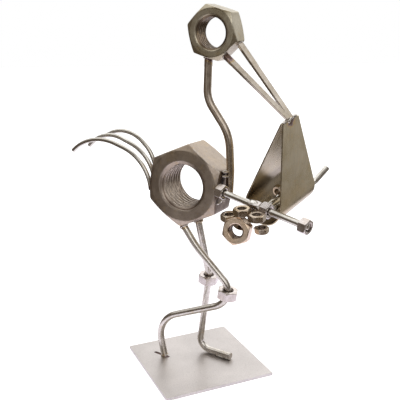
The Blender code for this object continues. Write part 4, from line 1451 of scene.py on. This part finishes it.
def paper(name, across, along, tone, strength):
    """A flat sheet on the ground with a glowing material, between two distances across and along."""
    turn = np.array(Matrix.Rotation(math.radians(PAPER_TURN), 3, "Z"))
    corners = [(across[i], along[j], 0.0) for i, j in ((0, 0), (1, 0), (1, 1), (0, 1))]
    mesh = bpy.data.meshes.new(name)
    mesh.from_pydata(np.array(corners) @ turn.T, [], [(0, 1, 2, 3)])
    obj = bpy.data.objects.new(name, mesh)
    bpy.context.scene.collection.objects.link(obj)
    paint = bpy.data.materials.new(name)
    paint.use_nodes = True
    shader = paint.node_tree.nodes["Principled BSDF"]
    shader.inputs["Base Color"].default_value = (0.9, 0.9, 0.9, 1.0)
    shader.inputs["Roughness"].default_value = 1.0
    shader.inputs["Specular IOR Level"].default_value = 0.0
    shader.inputs["Emission Color"].default_value = (*tone, 1.0)
    shader.inputs["Emission Strength"].default_value = strength
    mesh.materials.append(paint)
    obj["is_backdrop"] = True
    return obj


def floor():
    """A plain white floor, and the strip of lit paper that the metal mirrors instead of it."""
    ground = paper("floor", (-FLOOR, FLOOR), (-FLOOR, FLOOR), (1.0, 1.0, 1.0), FLOOR_GLOW)
    ground.visible_glossy = False
    strip = paper("paper", PAPER_ACROSS, PAPER_ALONG, PAPER_TONE, PAPER_GLOW)
    strip.visible_camera = False
    strip.visible_diffuse = False
    strip.visible_shadow = False


def sky(scene):
    """A dim warm room with soft lights round it, and plain white where the camera looks.

    A light's share at a direction is 1 within its inner angle of its middle and 0 past its outer one. The
    brightest light counts.
    """
    world = bpy.data.worlds.new("studio")
    scene.world = world
    world.use_nodes = True
    made = Nodes(world.node_tree)
    made.tree.nodes.clear()
    direction = made.node("ShaderNodeTexCoord").outputs["Generated"]
    found = 0.0
    for middle, inner, outer, strength in LIGHTS:
        slope = made.measured("DOT_PRODUCT", direction, unit(middle))
        edges = math.cos(math.radians(outer)), math.cos(math.radians(inner))
        found = made.math("MAXIMUM", found, made.ranged(slope, *edges, 0.0, strength))
    tone = made.node("ShaderNodeVectorMath", operation="MULTIPLY_ADD")
    made.put(tone.inputs[0], found)
    tone.inputs[1].default_value = LIGHT_TONE
    tone.inputs[2].default_value = ROOM_TONE
    studio = made.node("ShaderNodeBackground")
    made.put(studio.inputs["Color"], tone.outputs["Vector"])
    white = made.node("ShaderNodeBackground")
    white.inputs["Color"].default_value = (1, 1, 1, 1)
    choose = made.node("ShaderNodeMixShader")
    made.put(choose.inputs["Fac"], made.node("ShaderNodeLightPath").outputs["Is Camera Ray"])
    made.put(choose.inputs[1], studio.outputs["Background"])
    made.put(choose.inputs[2], white.outputs["Background"])
    made.put(made.node("ShaderNodeOutputWorld").inputs["Surface"], choose.outputs["Shader"])


def camera(scene, stage):
    """The photograph's camera."""
    data = bpy.data.cameras.new("camera")
    data.lens = stage.lens
    data.sensor_width = 36.0
    data.clip_start = 0.01
    obj = bpy.data.objects.new("camera", data)
    scene.collection.objects.link(obj)
    turn = Matrix.Rotation(math.radians(CAMERA_TURN), 4, "Z")
    pitch = Matrix.Rotation(math.radians(90 - CAMERA_DIP), 4, "X")
    roll = Matrix.Rotation(math.radians(CAMERA_ROLL), 4, "Z")
    obj.matrix_world = Matrix.Translation(CAMERA_PLACE) @ turn @ pitch @ roll
    scene.camera = obj


class STORK_PT_panel(bpy.types.Panel):
    """The stork's settings and the buttons that make it."""

    bl_idname = "STORK_PT_panel"
    bl_label = "Stork"
    bl_space_type = "VIEW_3D"
    bl_region_type = "UI"
    bl_category = "Stork"

    def draw(self, context):
        settings = context.scene.stork
        for name in ("plate", "nuts", "rods", "sling", "finishes", "stage"):
            group = getattr(settings, name)
            box = self.layout.box()
            box.label(text=name.capitalize())
            for field in group.bl_rna.properties:
                if not field.is_readonly and field.identifier != "name":
                    box.prop(group, field.identifier)
        for operator in OPERATORS:
            self.layout.operator(operator.bl_idname)


OPERATORS = (
    STORK_OT_plate,
    STORK_OT_big_nuts,
    STORK_OT_legs,
    STORK_OT_neck,
    STORK_OT_tail,
    STORK_OT_beak,
    STORK_OT_sling,
    STORK_OT_baby,
    STORK_OT_welds,
    STORK_OT_stage,
)
GROUPS = (StorkPlate, StorkNuts, StorkRods, StorkSling, StorkFinishes, StorkStage, StorkSettings)
CLASSES = GROUPS + OPERATORS + (STORK_PT_panel,)


def register():
    """Add the classes and the scene's settings."""
    for made in CLASSES:
        bpy.utils.register_class(made)
    bpy.types.Scene.stork = PointerProperty(type=StorkSettings)


def unregister():
    """Take the classes and the scene's settings out again."""
    del bpy.types.Scene.stork
    for made in reversed(CLASSES):
        bpy.utils.unregister_class(made)


def main():
    """Make every piece."""
    register()
    for operator in OPERATORS:
        group, name = operator.bl_idname.split(".")
        getattr(getattr(bpy.ops, group), name)()
    boxes = {"cad": CAD_BOX, "visual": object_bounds()}
    boxes = {name: [list(corner) for corner in box] for name, box in boxes.items()}


if __name__ == "__main__":
    main()
